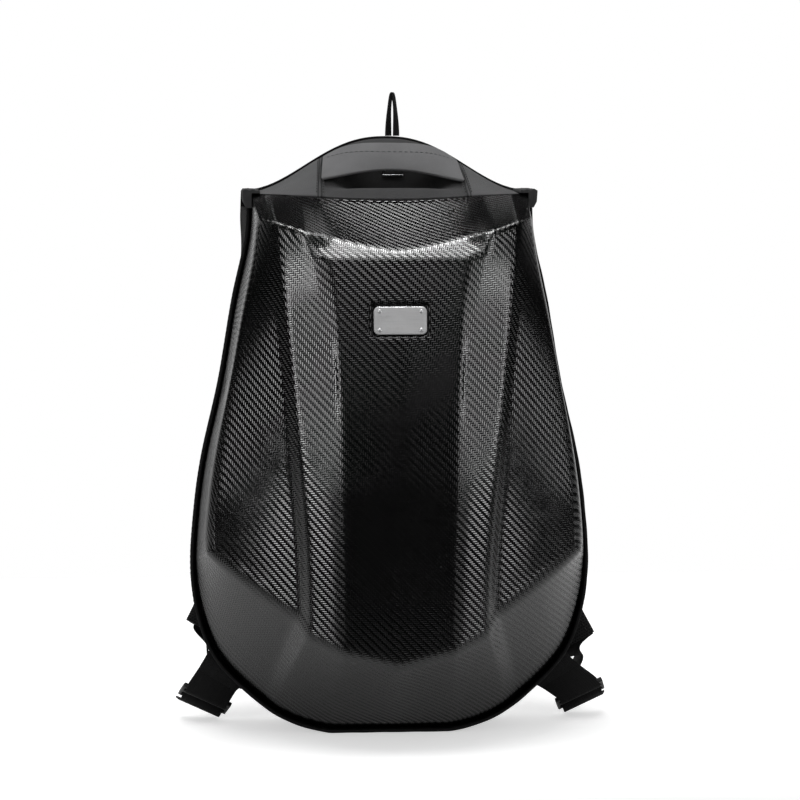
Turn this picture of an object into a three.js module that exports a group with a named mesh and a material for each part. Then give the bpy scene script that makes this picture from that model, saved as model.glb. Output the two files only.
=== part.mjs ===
// Motorcycle backpack with a moulded carbon-look shell, in millimetres.
// +Z is up, the shell faces -Y, and +X is to the right as seen from in front of the shell.
// While it is put together, the shell's rim lies in the plane y = 0 and cloth parts lie behind it.

import * as THREE from "three";

// Driving sizes

const GAP = 0.3; // clearance kept between neighbouring pieces
const SHELL_WALL = 2.2;
const SEAM_DRAW = 0.2; // the shell's pieces are drawn back this far from the seams between them
const CLOTH_WALL = 2;

// Half of the bag's outline seen from the front, from the middle of its base up to a top corner
const OUTLINE = [
  { halfWidth: 0, height: 0 },
  { halfWidth: 50, height: 0 },
  { halfWidth: 90, height: 12.5 },
  { halfWidth: 124.5, height: 39 },
  { halfWidth: 148, height: 66 },
  { halfWidth: 160.5, height: 98 },
  { halfWidth: 166, height: 138 },
  { halfWidth: 163, height: 190 },
  { halfWidth: 157, height: 232 },
  { halfWidth: 142.5, height: 296 },
  { halfWidth: 130.5, height: 365 },
  { halfWidth: 119.5, height: 416 },
  { halfWidth: 117.5, height: 450 },
];
const BACK_FLARE = 4; // the cloth stands this much wider than the rim at the top corners
const FLARE_FROM = 340;
const FLARE_TO = 430;
const CORNER_HEIGHT = 438; // side cloth and binding end here, under the corner tabs

// Binding tape round the rim
const BINDING_THICKNESS = 3.2;
const BINDING_FRONT = -9;
const BINDING_BACK = 7;
const BINDING_CHAMFER = 1.5;
const BINDING_CLEAR = 0.8; // to the shell's rim, whose facets bend at other places
const BAND_STEPS = 64; // facets of the bands round the outline

// Cloth depths behind the rim
const GUSSET_BACK = 52;
const BACK_THICKNESS = 14;
const BACK_ROUND = 4;

// Top of the back panel
const ARCH_TOP = 497;
const ARCH_FOOT = 452;
const ARCH_HALF = 119;
const ARCH_EASE = 1.15;

// Half widths of the shell's feature lines by height
const HALF_WIDTHS = [
  { height: 80, panel: 42, brow: 70, valley: 77, shoulder: 140 },
  { height: 165, panel: 43.5, brow: 73.5, valley: 80.5, shoulder: 147.5 },
  { height: 250, panel: 47, brow: 80, valley: 87, shoulder: 140.5 },
  { height: 320, panel: 48.5, brow: 86, valley: 93, shoulder: 127.5 },
  { height: 380, panel: 52, brow: 92, valley: 98, shoulder: 116 },
  { height: 440, panel: 66, brow: 97, valley: 100, shoulder: 107 },
];

// Depths of the same lines in front of the rim
const DEPTHS = [
  { height: 80, centre: 112, brow: 99, valley: 89, shoulder: 54 },
  { height: 165, centre: 121, brow: 107, valley: 95, shoulder: 62 },
  { height: 250, centre: 122, brow: 108, valley: 96, shoulder: 65 },
  { height: 320, centre: 119, brow: 105, valley: 94, shoulder: 70 },
  { height: 380, centre: 113, brow: 97, valley: 89, shoulder: 68 },
  { height: 440, centre: 101, brow: 83, valley: 80, shoulder: 62 },
];

// Feature lines from the middle outward: where each starts on the chin edge and ends on the crown edge,
// how the crown edge rises towards the next line, how far along the outline its chin crease meets the rim,
// and how many facets lie outside it
const LINES = [
  { name: "centre", chin: 80, crown: 404, crownEase: 1.5, rimShare: 0, facets: 3 },
  { name: "panel", chin: 91, crown: 416, crownEase: 1, rimShare: 0.085, facets: 1 },
  { name: "foot", chin: 92, crown: 417, crownEase: 1, rimShare: 0.09, facets: 2 },
  { name: "brow", chin: 106, crown: 428, crownEase: 1, rimShare: 0.185, facets: 1 },
  { name: "valley", chin: 120, crown: 430, crownEase: 1, rimShare: 0.21, facets: 3 },
  { name: "shoulder", chin: 166, crown: 436, crownEase: 1, rimShare: 0.455, facets: 0 },
];
const FRONT_ROWS = 14;
const PANEL_CROWN = 1.5; // the middle panel falls away this much towards its edges
const PANEL_STEP = { height: 2.5, run: 2.5, from: 180, to: 330 }; // it stands proud of the flanks higher up
const WING_SWELL = 1; // the wings bulge this much between their creases
const CHIN_ROUND = 8;
const SHOULDER_ROUND = 16;
const CROWN_ROUND = { middle: 3, side: 14, from: 54, to: 84 }; // tighter in the middle than past a half width
const FRONT_FALL = 0.2; // slope of the front where an edge starts to round over
const LONGEST_ROUND = 0.45; // of the way to the rim
const TOP_BOW = 20; // the shell's top edge bows forward in the middle
const TOP_DIP = 4; // and dips there
const SCOOP = 2.5; // hollow in the top slope

// Plate and rivets
const PLATE_WIDTH = 42;
const PLATE_HEIGHT = 22;
const PLATE_THICKNESS = 1.6;
const PLATE_CORNER = 4;
const PLATE_AT = 352;
const RIVET_RADIUS = 1.7;
const RIVET_RISE = 0.9;
const RIVET_FACETS = 10;
const RIVET_CHEEK = { radiusShare: 0.75, riseShare: 0.7 }; // where the rivet's side turns into its dome
const RIVET_INSET_X = 4.5;
const RIVET_INSET_Z = 3.6;

// Top panel and handle
const TOP_HALF = 106.5;
const TOP_BACK = 50.6; // its upper face ends here, and its lower face reaches nearer the back panel
const TOP_COLUMNS = 24;
const TOP_ROWS = 9;
const TOP_CREST = { height: 5, from: 0, to: 0.4 }; // a swell behind the shell's edge, in shares of the slope
const TOP_HOLLOW = { height: -13, from: 0.25, to: 0.9 }; // and a hollow under the handle
const HANDLE_MIDDLE = 4; // the handle is sewn on a little to the right
const HANDLE_HALF = 57;
const HANDLE_THICKNESS = 3;
const HANDLE_END = { y: 24, halfWidth: 23 };
const HANDLE_MID = { y: 10, rise: 15, halfWidth: 13, tilt: 58 };
const HANDLE_EASE = 1.2;
const HANDLE_CLEAR = 0.7;
const HANDLE_STEPS = 14;
const PULL_WIDTH = 18;
const PULL_LENGTH = 9;
const PULL_THICKNESS = 1.6;
const PULL_AT_X = 4;
const PULL_AT_SHARE = 0.66;
const PULL_SPAN_SHARE = 0.1; // the tab lies along the panel's slope this far to either side
const PULL_CLEAR = 0.9;

// Hang loop
const LOOP_AT_X = 6;
const LOOP_WIDTH = 8;
const LOOP_THICKNESS = 1.6;
const LOOP_TOP = 533;
const LOOP_HALF_SPAN = 3.6;
const LOOP_EASE = 1.6;
const LOOP_STEPS = 16;
const LOOP_TWISTED_BY = 0.8; // share of its rise at which its legs have turned edge on

// Corner tabs
const TAB_INNER = 107.3;
const TAB_WALL = 3.4;
const TAB_FALL = 0.7; // its upper face rounds down towards the bag's middle and outer side
const TAB_ROUND = 2.4;
const TAB_FRONT = -8;

// Shoulder straps: a row for each station of the right-hand strap, from its top seam down
const STRAP_THICKNESS = 12;
const STRAP_STEPS = 20;
const STRAP_STATIONS = [
  { x: 42, stand: 6.4, z: 448, halfWidth: 31 },
  { x: 45, stand: 9, z: 425, halfWidth: 31 },
  { x: 54, stand: 30, z: 375, halfWidth: 31 },
  { x: 70, stand: 45, z: 310, halfWidth: 31 },
  { x: 91, stand: 48, z: 235, halfWidth: 30 },
  { x: 119, stand: 40, z: 155, halfWidth: 27 },
  { x: 147, stand: 27, z: 92, halfWidth: 22 },
  { x: 166, stand: 18, z: 59, halfWidth: 20 },
];

// The left strap hangs this much nearer the middle, more and more between these heights
const LEFT_DRAWN_IN = { by: 13, from: 310, to: 92 };

// Ladder locks, described by the right-hand one
const LOCK_LENGTH = 44;
const LOCK_BAR = 4.5;
const LOCK_PITCH = 9.5;
const LOCK_RAIL = 2.5;
const LOCK_THICKNESS = 4;
const LOCK_CORNER = 3;
const LOCK_AT = new THREE.Vector3(167, 55, 20.5);
const LOCK_LONG = new THREE.Vector3(0.906, 0, 0.42).normalize();
const LOCK_PULL = new THREE.Vector3(0.21, 0.86, -0.45);

// Webbing
const WEBBING_HALF = 18.5;
const WEBBING_THICKNESS = 1.6;
const WEBBING_CLEAR = 0.7;
const STRAP_END_CLEAR = 0.5;
const STRAP_END_STRAIGHT = 9;
const STRAP_TURN = { from: 0.1, to: 0.36 }; // the webbing turns to the lock between these shares
const TAIL_LENGTH = 16;
const TAIL_LIFT = 7;
const TAIL_DROP = 18; // the webbing comes straight down to the lock's slot from this far above its face
const TAIL_BEND = [180, 225, 270]; // degrees round the lock's bar
const TAIL_STEPS = 28;
const ANCHOR_SHARE = 0.268; // where on the outline the anchor webbing leaves the bag
const ANCHOR_Y = 34;
const ANCHOR_CLEAR = 0.4;
const ANCHOR_STRAIGHT = 6;
const ANCHOR_SPREAD = 3; // it is a little wider at the bag than at the lock
const ANCHOR_LAYERS = 1.9; // half the distance between its two layers at the bag
const ANCHOR_BEND = [60, 30, 0, -40, -80, -110, -140]; // degrees round the lock's bar
const ANCHOR_TURN = { from: 0.62, to: 0.92 }; // shares of the way from the lock to the bag
const ANCHOR_WIDEN = { from: 0.7, to: 1 };
const ANCHOR_STEPS = 30;

// Materials

function finish(color, roughness, metalness = 0) {
  return new THREE.MeshStandardMaterial({ color, roughness, metalness });
}

const MATERIALS = {
  carbon: finish(0x1c1d1f, 0.35),
  cloth: finish(0x4c4d50, 0.9),
  padding: finish(0x1b1b1c, 0.95),
  binding: finish(0x121213, 0.85),
  handle: finish(0x6b6c6e, 0.85),
  webbing: finish(0x141415, 0.8),
  plastic: finish(0x0e0e0f, 0.5),
  metal: finish(0xb9babc, 0.35, 1),
};

// Geometry helpers

const UP = new THREE.Vector3(0, 0, 1);
const BACKWARD = new THREE.Vector3(0, 1, 0);
const FORWARD = new THREE.Vector3(0, -1, 0);

function mix(a, b, share) {
  return a + (b - a) * share;
}

function easeBetween(from, to, value) {
  return THREE.MathUtils.smoothstep(value, from, to);
}

// Smooth value of one column of a table whose rows are sorted by height
function columnAt(table, name, height) {
  const last = table.length - 2;
  let row = 0;
  while (row < last && height > table[row + 1].height) row += 1;
  const slopeAt = (index) => {
    const before = table[Math.max(index - 1, 0)];
    const after = table[Math.min(index + 1, table.length - 1)];
    return (after[name] - before[name]) / (after.height - before.height);
  };
  const low = table[row];
  const high = table[row + 1];
  const run = high.height - low.height;
  const t = THREE.MathUtils.clamp((height - low.height) / run, 0, 1);
  const t2 = t * t;
  const t3 = t2 * t;
  return (
    (2 * t3 - 3 * t2 + 1) * low[name] +
    (t3 - 2 * t2 + t) * run * slopeAt(row) +
    (3 * t2 - 2 * t3) * high[name] +
    (t3 - t2) * run * slopeAt(row + 1)
  );
}

// A closed body from points and faces of three or four corners, anticlockwise from outside;
// a face of four corners is split along its shorter diagonal
function body(points, faces) {
  const positions = points.flatMap((point) => point.toArray());
  const triangles = faces.flatMap(([a, b, c, d]) => {
    if (d === undefined) return [a, b, c];
    const firstIsShorter = points[a].distanceTo(points[c]) <= points[b].distanceTo(points[d]);
    return firstIsShorter ? [a, b, c, a, c, d] : [a, b, d, b, c, d];
  });
  const geometry = new THREE.BufferGeometry();
  geometry.setAttribute("position", new THREE.Float32BufferAttribute(positions, 3));
  geometry.setIndex(triangles);
  geometry.computeVertexNormals();
  return geometry;
}

// A closed body through rings of points, each ring anticlockwise as seen from the last one's side
function loft(rings) {
  const count = rings[0].length;
  const faces = [];
  for (let ring = 0; ring + 1 < rings.length; ring += 1) {
    for (let corner = 0; corner < count; corner += 1) {
      const next = (corner + 1) % count;
      const here = ring * count;
      const there = here + count;
      faces.push([here + corner, here + next, there + next, there + corner]);
    }
  }
  const end = (rings.length - 1) * count;
  for (let corner = 1; corner + 1 < count; corner += 1) {
    faces.push([0, corner + 1, corner]);
    faces.push([end, end + corner, end + corner + 1]);
  }
  return body(rings.flat(), faces);
}

// A strip of constant section swept through stations with their own axes and half sizes
function sweep(section, stations) {
  const rings = stations.map(({ at, side, out, halfWidth, halfThick }) =>
    section.map(([across, through]) =>
      at.clone().addScaledVector(side, across * halfWidth).addScaledVector(out, through * halfThick),
    ),
  );
  return loft(rings);
}

// Sections for sweep, in shares of the half width and half thickness
const FLAT_SECTION = [[-1, -1], [1, -1], [1, 1], [-1, 1]];
const PAD_SECTION = [
  [-1, 0], [-0.93, -0.7], [-0.75, -1], [0.75, -1], [0.93, -0.7], [1, 0],
  [0.93, 0.7], [0.75, 1], [-0.75, 1], [-0.93, 0.7],
];

// Turns centre points with given width directions into stations whose thickness direction is square to both
function stationsAlong(places) {
  return places.map((place, index) => {
    const before = places[Math.max(index - 1, 0)].at;
    const after = places[Math.min(index + 1, places.length - 1)].at;
    const along = after.clone().sub(before).normalize();
    return { ...place, out: along.cross(place.side).normalize() };
  });
}

// A thin sheet between a surface and its copy moved inward along the surface's normal
function sheet(surface, columns, rows, wall) {
  const outer = [];
  const inner = [];
  const step = 1e-3;
  for (let row = 0; row <= rows; row += 1) {
    for (let column = 0; column <= columns; column += 1) {
      const u = column / columns;
      const v = row / rows;
      const point = surface(u, v);
      const alongU = surface(Math.min(u + step, 1), v).sub(surface(Math.max(u - step, 0), v));
      const alongV = surface(u, Math.min(v + step, 1)).sub(surface(u, Math.max(v - step, 0)));
      const normal = alongU.cross(alongV).normalize();
      outer.push(point);
      inner.push(point.clone().addScaledVector(normal, -wall));
    }
  }
  const width = columns + 1;
  const under = outer.length;
  const faces = [];
  for (let row = 0; row < rows; row += 1) {
    for (let column = 0; column < columns; column += 1) {
      const a = row * width + column;
      faces.push([a, a + 1, a + width + 1, a + width]);
      faces.push([under + a, under + a + width, under + a + width + 1, under + a + 1]);
    }
  }
  const edge = [];
  for (let column = 0; column < columns; column += 1) edge.push(column);
  for (let row = 0; row < rows; row += 1) edge.push(row * width + columns);
  for (let column = columns; column > 0; column -= 1) edge.push(rows * width + column);
  for (let row = rows; row > 0; row -= 1) edge.push(row * width);
  edge.forEach((here, index) => {
    const next = edge[(index + 1) % edge.length];
    faces.push([here, under + here, under + next, next]);
  });
  return body([...outer, ...inner], faces);
}

function roundedRectangle(width, height, radius) {
  const x = width / 2;
  const y = height / 2;
  const shape = new THREE.Shape();
  shape.absarc(x - radius, y - radius, radius, 0, Math.PI / 2);
  shape.absarc(radius - x, y - radius, radius, Math.PI / 2, Math.PI);
  shape.absarc(radius - x, radius - y, radius, Math.PI, Math.PI * 1.5);
  shape.absarc(x - radius, radius - y, radius, Math.PI * 1.5, Math.PI * 2);
  return shape;
}

// Outline of the bag

const outlineCurve = new THREE.CatmullRomCurve3(
  OUTLINE.map(({ halfWidth, height }) => new THREE.Vector3(halfWidth, 0, height)),
  false,
  "centripetal",
);

// Point of the outline, from -1 at the left top corner through 0 at the base to 1 at the right top corner
function outlinePoint(share) {
  const point = outlineCurve.getPointAt(Math.min(Math.abs(share), 1));
  point.z = Math.max(point.z, 0);
  point.x *= Math.sign(share);
  return point;
}

function outlineNormal(share) {
  const step = 0.004;
  const tangent = outlinePoint(Math.min(share + step, 1)).sub(outlinePoint(Math.max(share - step, -1)));
  return new THREE.Vector3(tangent.z, 0, -tangent.x).normalize();
}

function insetPoint(share, inset) {
  return outlinePoint(share).addScaledVector(outlineNormal(share), -inset);
}

const WIDEST_SHARE = 0.4;
const HALVINGS = 40;

// Share of the outline whose point is at a height above its widest place
function shareAtHeight(height) {
  let low = WIDEST_SHARE;
  let high = 1;
  for (let turn = 0; turn < HALVINGS; turn += 1) {
    const middle = (low + high) / 2;
    if (outlinePoint(middle).z < height) low = middle;
    else high = middle;
  }
  return low;
}

const RIM_INSET = BINDING_THICKNESS + BINDING_CLEAR;

function archHeight(x) {
  const share = Math.min(Math.abs(x) / ARCH_HALF, 1);
  return ARCH_FOOT + ((ARCH_TOP - ARCH_FOOT) * (1 + Math.cos(Math.PI * share ** ARCH_EASE))) / 2;
}

// Shell

function lineX(name, height) {
  if (name === "centre") return 0;
  if (name === "foot") return columnAt(HALF_WIDTHS, "panel", height) + PANEL_STEP.run;
  return columnAt(HALF_WIDTHS, name, height);
}

function lineDepth(name, height) {
  const centre = columnAt(DEPTHS, "centre", height);
  if (name === "panel") return centre - PANEL_CROWN;
  if (name === "foot") {
    return centre - PANEL_CROWN - PANEL_STEP.height * easeBetween(PANEL_STEP.from, PANEL_STEP.to, height);
  }
  return columnAt(DEPTHS, name, height);
}

// Columns of the front from the middle outward, as places between neighbouring feature lines
function halfColumns() {
  const columns = [];
  LINES.forEach((line, index) => {
    const next = LINES[index + 1] ?? line;
    const facets = Math.max(line.facets, 1);
    for (let facet = 0; facet < facets; facet += 1) columns.push({ line, next, share: facet / facets });
  });
  return columns;
}

function frontPoint({ line, next, share }, side, rise) {
  const chin = mix(line.chin, next.chin, share);
  const crown = mix(line.crown, next.crown, share ** line.crownEase);
  const height = mix(chin, crown, rise);
  const x = mix(lineX(line.name, height), lineX(next.name, height), share);
  let depth = mix(lineDepth(line.name, height), lineDepth(next.name, height), share);
  if (line.name === "valley") depth += WING_SWELL * 4 * share * (1 - share);
  return new THREE.Vector3(side * x, -depth, height);
}

const SHELL_CORNER = insetPoint(1, RIM_INSET);

// Top edge of the shell, at a share of its half width
function topEdgePoint(share) {
  const bow = 1 - share * share;
  const z = SHELL_CORNER.z - TOP_DIP * bow * bow;
  return new THREE.Vector3(share * SHELL_CORNER.x, -TOP_BOW * bow, z);
}

// Points from an edge of the front over its rounding and down to the rim
function skirtProfile(edge, rim, round, scoop) {
  const outward = rim.clone().sub(edge).setY(0);
  const reach = outward.length();
  outward.normalize();
  const bend = Math.min(round, reach * LONGEST_ROUND);
  const corner = edge.clone().addScaledVector(outward, bend).addScaledVector(BACKWARD, bend * FRONT_FALL);
  const wall = rim.clone().sub(corner);
  const foot = corner.clone().addScaledVector(wall, Math.min(bend / wall.length(), LONGEST_ROUND));
  const bent = edge.clone().addScaledVector(corner, 2).add(foot).multiplyScalar(0.25);
  const middle = foot.clone().add(rim).multiplyScalar(0.5).addScaledVector(UP, -scoop);
  return { outward, points: [edge, bent, foot, middle, rim] };
}

// Skin of the shell: its outer points, the inner point under each, and its outer faces by region
function shellSkin() {
  const half = halfColumns();
  const columns = [
    ...half.slice(1).reverse().map((column) => ({ column, side: -1 })),
    ...half.map((column) => ({ column, side: 1 })),
  ];
  const width = columns.length;
  const outer = [];
  for (let row = 0; row <= FRONT_ROWS; row += 1) {
    columns.forEach(({ column, side }) => outer.push(frontPoint(column, side, row / FRONT_ROWS)));
  }
  const inner = outer.map((point) => point.clone().addScaledVector(BACKWARD, SHELL_WALL));
  const at = (row, column) => row * width + column;
  const regions = { front: [], wing_left: [], wing_right: [], chin: [], crown: [] };

  const brows = columns.flatMap(({ column: { line, share } }, index) =>
    line.name === "brow" && share === 0 ? [index] : [],
  );
  for (let row = 0; row < FRONT_ROWS; row += 1) {
    for (let column = 0; column + 1 < width; column += 1) {
      const a = at(row, column);
      const face = [a, a + 1, a + width + 1, a + width];
      if (column < brows[0]) regions.wing_left.push(face);
      else if (column >= brows[1]) regions.wing_right.push(face);
      else regions.front.push(face);
    }
  }

  // Edge of the front, anticlockwise as seen from the front, with each vertex's place on the rim
  // and the region that the skirt belongs to between that vertex and the next
  const shoulderShare = LINES.at(-1).rimShare;
  const edge = [];
  columns.forEach(({ column: { line, next, share }, side }, index) => {
    const rim = insetPoint(side * mix(line.rimShare, next.rimShare, share), RIM_INSET);
    const region = index + 1 < width ? "chin" : "wing_right";
    edge.push({ index: at(0, index), rim, round: CHIN_ROUND, scoop: 0, region });
  });
  for (let row = 1; row < FRONT_ROWS; row += 1) {
    const rim = insetPoint(mix(shoulderShare, 1, row / FRONT_ROWS), RIM_INSET);
    edge.push({ index: at(row, width - 1), rim, round: SHOULDER_ROUND, scoop: 0, region: "wing_right" });
  }
  const topHalf = outer[at(FRONT_ROWS, width - 1)].x;
  for (let column = width - 1; column >= 0; column -= 1) {
    const { x } = outer[at(FRONT_ROWS, column)];
    const share = x / topHalf;
    const scoop = SCOOP * (1 - share * share) ** 2;
    const aside = easeBetween(CROWN_ROUND.from, CROWN_ROUND.to, Math.abs(x));
    const round = mix(CROWN_ROUND.middle, CROWN_ROUND.side, aside);
    const region = column > 0 ? "crown" : "wing_left";
    edge.push({ index: at(FRONT_ROWS, column), rim: topEdgePoint(share), round, scoop, region });
  }
  for (let row = FRONT_ROWS - 1; row > 0; row -= 1) {
    const rim = insetPoint(-mix(shoulderShare, 1, row / FRONT_ROWS), RIM_INSET);
    edge.push({ index: at(row, 0), rim, round: SHOULDER_ROUND, scoop: 0, region: "wing_left" });
  }

  // Rings from the front's edge down to the rim
  const profiles = edge.map(({ index, rim, round, scoop }) => skirtProfile(outer[index], rim, round, scoop));
  const last = profiles[0].points.length - 1;
  let ring = edge.map(({ index }) => index);
  for (let step = 1; step <= last; step += 1) {
    const nextRing = profiles.map(({ outward, points }) => {
      const along = points[Math.min(step + 1, last)].clone().sub(points[step - 1]);
      const inward = outward.clone().multiplyScalar(-along.y).addScaledVector(BACKWARD, along.dot(outward));
      if (step === last) inward.copy(outward).negate();
      inner.push(points[step].clone().addScaledVector(inward.normalize(), SHELL_WALL));
      return outer.push(points[step]) - 1;
    });
    edge.forEach(({ region }, here) => {
      const next = (here + 1) % edge.length;
      regions[region].push([ring[here], nextRing[here], nextRing[next], ring[next]]);
    });
    ring = nextRing;
  }
  return { outer, inner, regions };
}

// One region of the skin as a closed solid, drawn back from the edges that it shares with other regions
function shellPiece({ outer, inner }, faces, shared) {
  const used = [...new Set(faces.flat())];
  const drawnBack = (points) =>
    used.map((vertex) => {
      const point = points[vertex].clone();
      if (!shared.has(vertex)) return point;
      const near = faces.filter((face) => face.includes(vertex)).flat();
      const middle = near.reduce((sum, index) => sum.add(points[index]), new THREE.Vector3());
      return point.addScaledVector(middle.divideScalar(near.length).sub(point).normalize(), SEAM_DRAW);
    });
  const order = new Map(used.map((vertex, index) => [vertex, index]));
  const outside = faces.map((face) => face.map((vertex) => order.get(vertex)));
  const inside = outside.map((face) => face.map((vertex) => vertex + used.length).reverse());
  const edges = outside.flatMap((face) => face.map((here, index) => [here, face[(index + 1) % face.length]]));
  const known = new Set(edges.map(([here, next]) => `${here} ${next}`));
  const walls = edges
    .filter(([here, next]) => !known.has(`${next} ${here}`))
    .map(([here, next]) => [next, here, here + used.length, next + used.length]);
  return body([...drawnBack(outer), ...drawnBack(inner)], [...outside, ...inside, ...walls]);
}

function shellPieces() {
  const skin = shellSkin();
  const uses = new Map();
  Object.values(skin.regions).forEach((faces) => {
    new Set(faces.flat()).forEach((vertex) => uses.set(vertex, (uses.get(vertex) ?? 0) + 1));
  });
  const shared = new Set([...uses].filter(([, count]) => count > 1).map(([vertex]) => vertex));
  return Object.entries(skin.regions).map(([name, faces]) =>
    named(`shell_${name}`, shellPiece(skin, faces, shared), MATERIALS.carbon),
  );
}

// Plate and rivets, on the shell's middle panel

function plateFrame() {
  const reach = PLATE_HEIGHT / 2;
  const low = new THREE.Vector3(0, -lineDepth("centre", PLATE_AT - reach), PLATE_AT - reach);
  const high = new THREE.Vector3(0, -lineDepth("centre", PLATE_AT + reach), PLATE_AT + reach);
  const rise = high.clone().sub(low).normalize();
  const group = new THREE.Group();
  group.position.copy(low.add(high).multiplyScalar(0.5));
  group.rotation.x = Math.atan2(rise.z, rise.y);
  return group;
}

// The plate's own frame has x to the right, y up and z out of the shell
function namePlate() {
  const shape = roundedRectangle(PLATE_WIDTH, PLATE_HEIGHT, PLATE_CORNER);
  const options = { depth: PLATE_THICKNESS, bevelEnabled: false, curveSegments: 4 };
  const geometry = new THREE.ExtrudeGeometry(shape, options);
  return geometry.translate(0, 0, GAP);
}

function rivet() {
  const profile = [
    new THREE.Vector2(0, 0),
    new THREE.Vector2(RIVET_RADIUS, 0),
    new THREE.Vector2(RIVET_RADIUS * RIVET_CHEEK.radiusShare, RIVET_RISE * RIVET_CHEEK.riseShare),
    new THREE.Vector2(0, RIVET_RISE),
  ];
  return new THREE.LatheGeometry(profile, RIVET_FACETS).rotateX(Math.PI / 2);
}

// Cloth parts

function bandStations(place) {
  const end = shareAtHeight(CORNER_HEIGHT);
  return Array.from({ length: BAND_STEPS + 1 }, (_, step) => place(mix(-end, end, step / BAND_STEPS)));
}

function edgeBinding() {
  const middle = (BINDING_FRONT + BINDING_BACK) / 2;
  const halfRun = (BINDING_BACK - BINDING_FRONT) / 2;
  const bevel = BINDING_CHAMFER / halfRun;
  const drop = 1 - (2 * BINDING_CHAMFER) / BINDING_THICKNESS;
  const section = [[-1, -1], [1, -1], [1, drop], [1 - bevel, 1], [bevel - 1, 1], [-1, drop]];
  const stations = bandStations((share) => ({
    at: insetPoint(share, BINDING_THICKNESS / 2).setY(middle),
    side: FORWARD,
    out: outlineNormal(share),
    halfWidth: halfRun,
    halfThick: BINDING_THICKNESS / 2,
  }));
  return sweep(section, stations);
}

function flareAt(height) {
  return BACK_FLARE * easeBetween(FLARE_FROM, FLARE_TO, height);
}

function sideGusset() {
  const front = BINDING_BACK + GAP;
  const rings = bandStations((share) => {
    const normal = outlineNormal(share);
    const outer = outlinePoint(share);
    const inner = insetPoint(share, CLOTH_WALL);
    const spread = normal.clone().multiplyScalar(flareAt(outer.z));
    return [
      outer.clone().setY(front),
      outer.clone().add(spread).setY(GUSSET_BACK),
      inner.clone().add(spread).setY(GUSSET_BACK),
      inner.clone().setY(front),
    ];
  });
  return loft(rings);
}

function backPanel() {
  const sideSteps = 26;
  const archSteps = 20;
  const right = [];
  for (let step = 0; step <= sideSteps; step += 1) {
    const share = step / sideSteps;
    const point = outlinePoint(share).addScaledVector(outlineNormal(share), flareAt(outlinePoint(share).z));
    right.push(new THREE.Vector2(point.x, Math.max(point.z, 0)));
  }
  const corner = right.at(-1);
  const arch = [];
  for (let step = 1; step < archSteps; step += 1) {
    const x = mix(corner.x, -corner.x, step / archSteps);
    arch.push(new THREE.Vector2(x, archHeight(x)));
  }
  const left = right.slice(1).reverse().map(({ x, y }) => new THREE.Vector2(-x, y));
  const shape = new THREE.Shape([...right, ...arch, ...left]);
  const options = {
    depth: BACK_THICKNESS - 2 * BACK_ROUND,
    bevelThickness: BACK_ROUND,
    bevelSize: BACK_ROUND,
    bevelOffset: -BACK_ROUND,
    bevelSegments: 2,
  };
  const geometry = new THREE.ExtrudeGeometry(shape, options);
  return geometry.rotateX(Math.PI / 2).translate(0, GUSSET_BACK + GAP + BACK_THICKNESS - BACK_ROUND, 0);
}

// Straight slope from the shell's top edge at x up to the back panel's arch
function topSlope(x) {
  const front = topEdgePoint(x / SHELL_CORNER.x);
  front.y += GAP;
  const back = new THREE.Vector3(x, TOP_BACK, archHeight(x) - CLOTH_WALL);
  return { front, back, tilt: Math.atan2(back.z - front.z, back.y - front.y) };
}

// Height of a single soft wave between two shares of the way
function waveAt({ height, from, to }, share) {
  const phase = THREE.MathUtils.clamp((share - from) / (to - from), 0, 1);
  return height * Math.sin(Math.PI * phase) ** 2;
}

// Upper surface of the top panel, u across from left to right and v from the shell's edge to the back
function topPanelPoint(u, v) {
  const x = mix(-TOP_HALF, TOP_HALF, u);
  const { front, back } = topSlope(x);
  const middle = 1 - easeBetween(HANDLE_HALF / 3, HANDLE_HALF, Math.abs(x));
  const swell = waveAt(TOP_CREST, v) + waveAt(TOP_HOLLOW, v);
  return front.lerp(back, v).addScaledVector(UP, swell * middle);
}

function topPanel() {
  return sheet(topPanelPoint, TOP_COLUMNS, TOP_ROWS, CLOTH_WALL);
}

function haulHandle() {
  const midTilt = THREE.MathUtils.degToRad(HANDLE_MID.tilt);
  const places = Array.from({ length: HANDLE_STEPS + 1 }, (_, index) => {
    const turn = mix(-1, 1, index / HANDLE_STEPS);
    const x = HANDLE_MIDDLE + HANDLE_HALF * turn;
    const arch = Math.cos((Math.PI / 2) * turn) ** HANDLE_EASE;
    const { front, back, tilt } = topSlope(x);
    const y = mix(HANDLE_END.y, HANDLE_MID.y, arch);
    const seat = mix(front.z, back.z, (y - front.y) / (back.y - front.y));
    const lying = (HANDLE_CLEAR + HANDLE_THICKNESS / 2) / Math.cos(tilt);
    const turned = mix(tilt, midTilt, arch);
    return {
      at: new THREE.Vector3(x, y, seat + mix(lying, HANDLE_MID.rise, arch)),
      side: new THREE.Vector3(0, Math.cos(turned), Math.sin(turned)),
      halfWidth: mix(HANDLE_END.halfWidth, HANDLE_MID.halfWidth, arch),
      halfThick: HANDLE_THICKNESS / 2,
    };
  });
  return sweep(FLAT_SECTION, stationsAlong(places));
}

function zipPull() {
  const u = (PULL_AT_X + TOP_HALF) / (2 * TOP_HALF);
  const seat = topPanelPoint(u, PULL_AT_SHARE);
  const below = topPanelPoint(u, PULL_AT_SHARE - PULL_SPAN_SHARE);
  const slope = topPanelPoint(u, PULL_AT_SHARE + PULL_SPAN_SHARE).sub(below);
  const shape = roundedRectangle(PULL_WIDTH, PULL_LENGTH, PULL_THICKNESS);
  const options = { depth: PULL_THICKNESS, bevelEnabled: false, curveSegments: 3 };
  const geometry = new THREE.ExtrudeGeometry(shape, options).translate(0, 0, PULL_CLEAR);
  geometry.rotateX(Math.atan2(slope.z, slope.y));
  return geometry.translate(seat.x, seat.y, seat.z);
}

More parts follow.
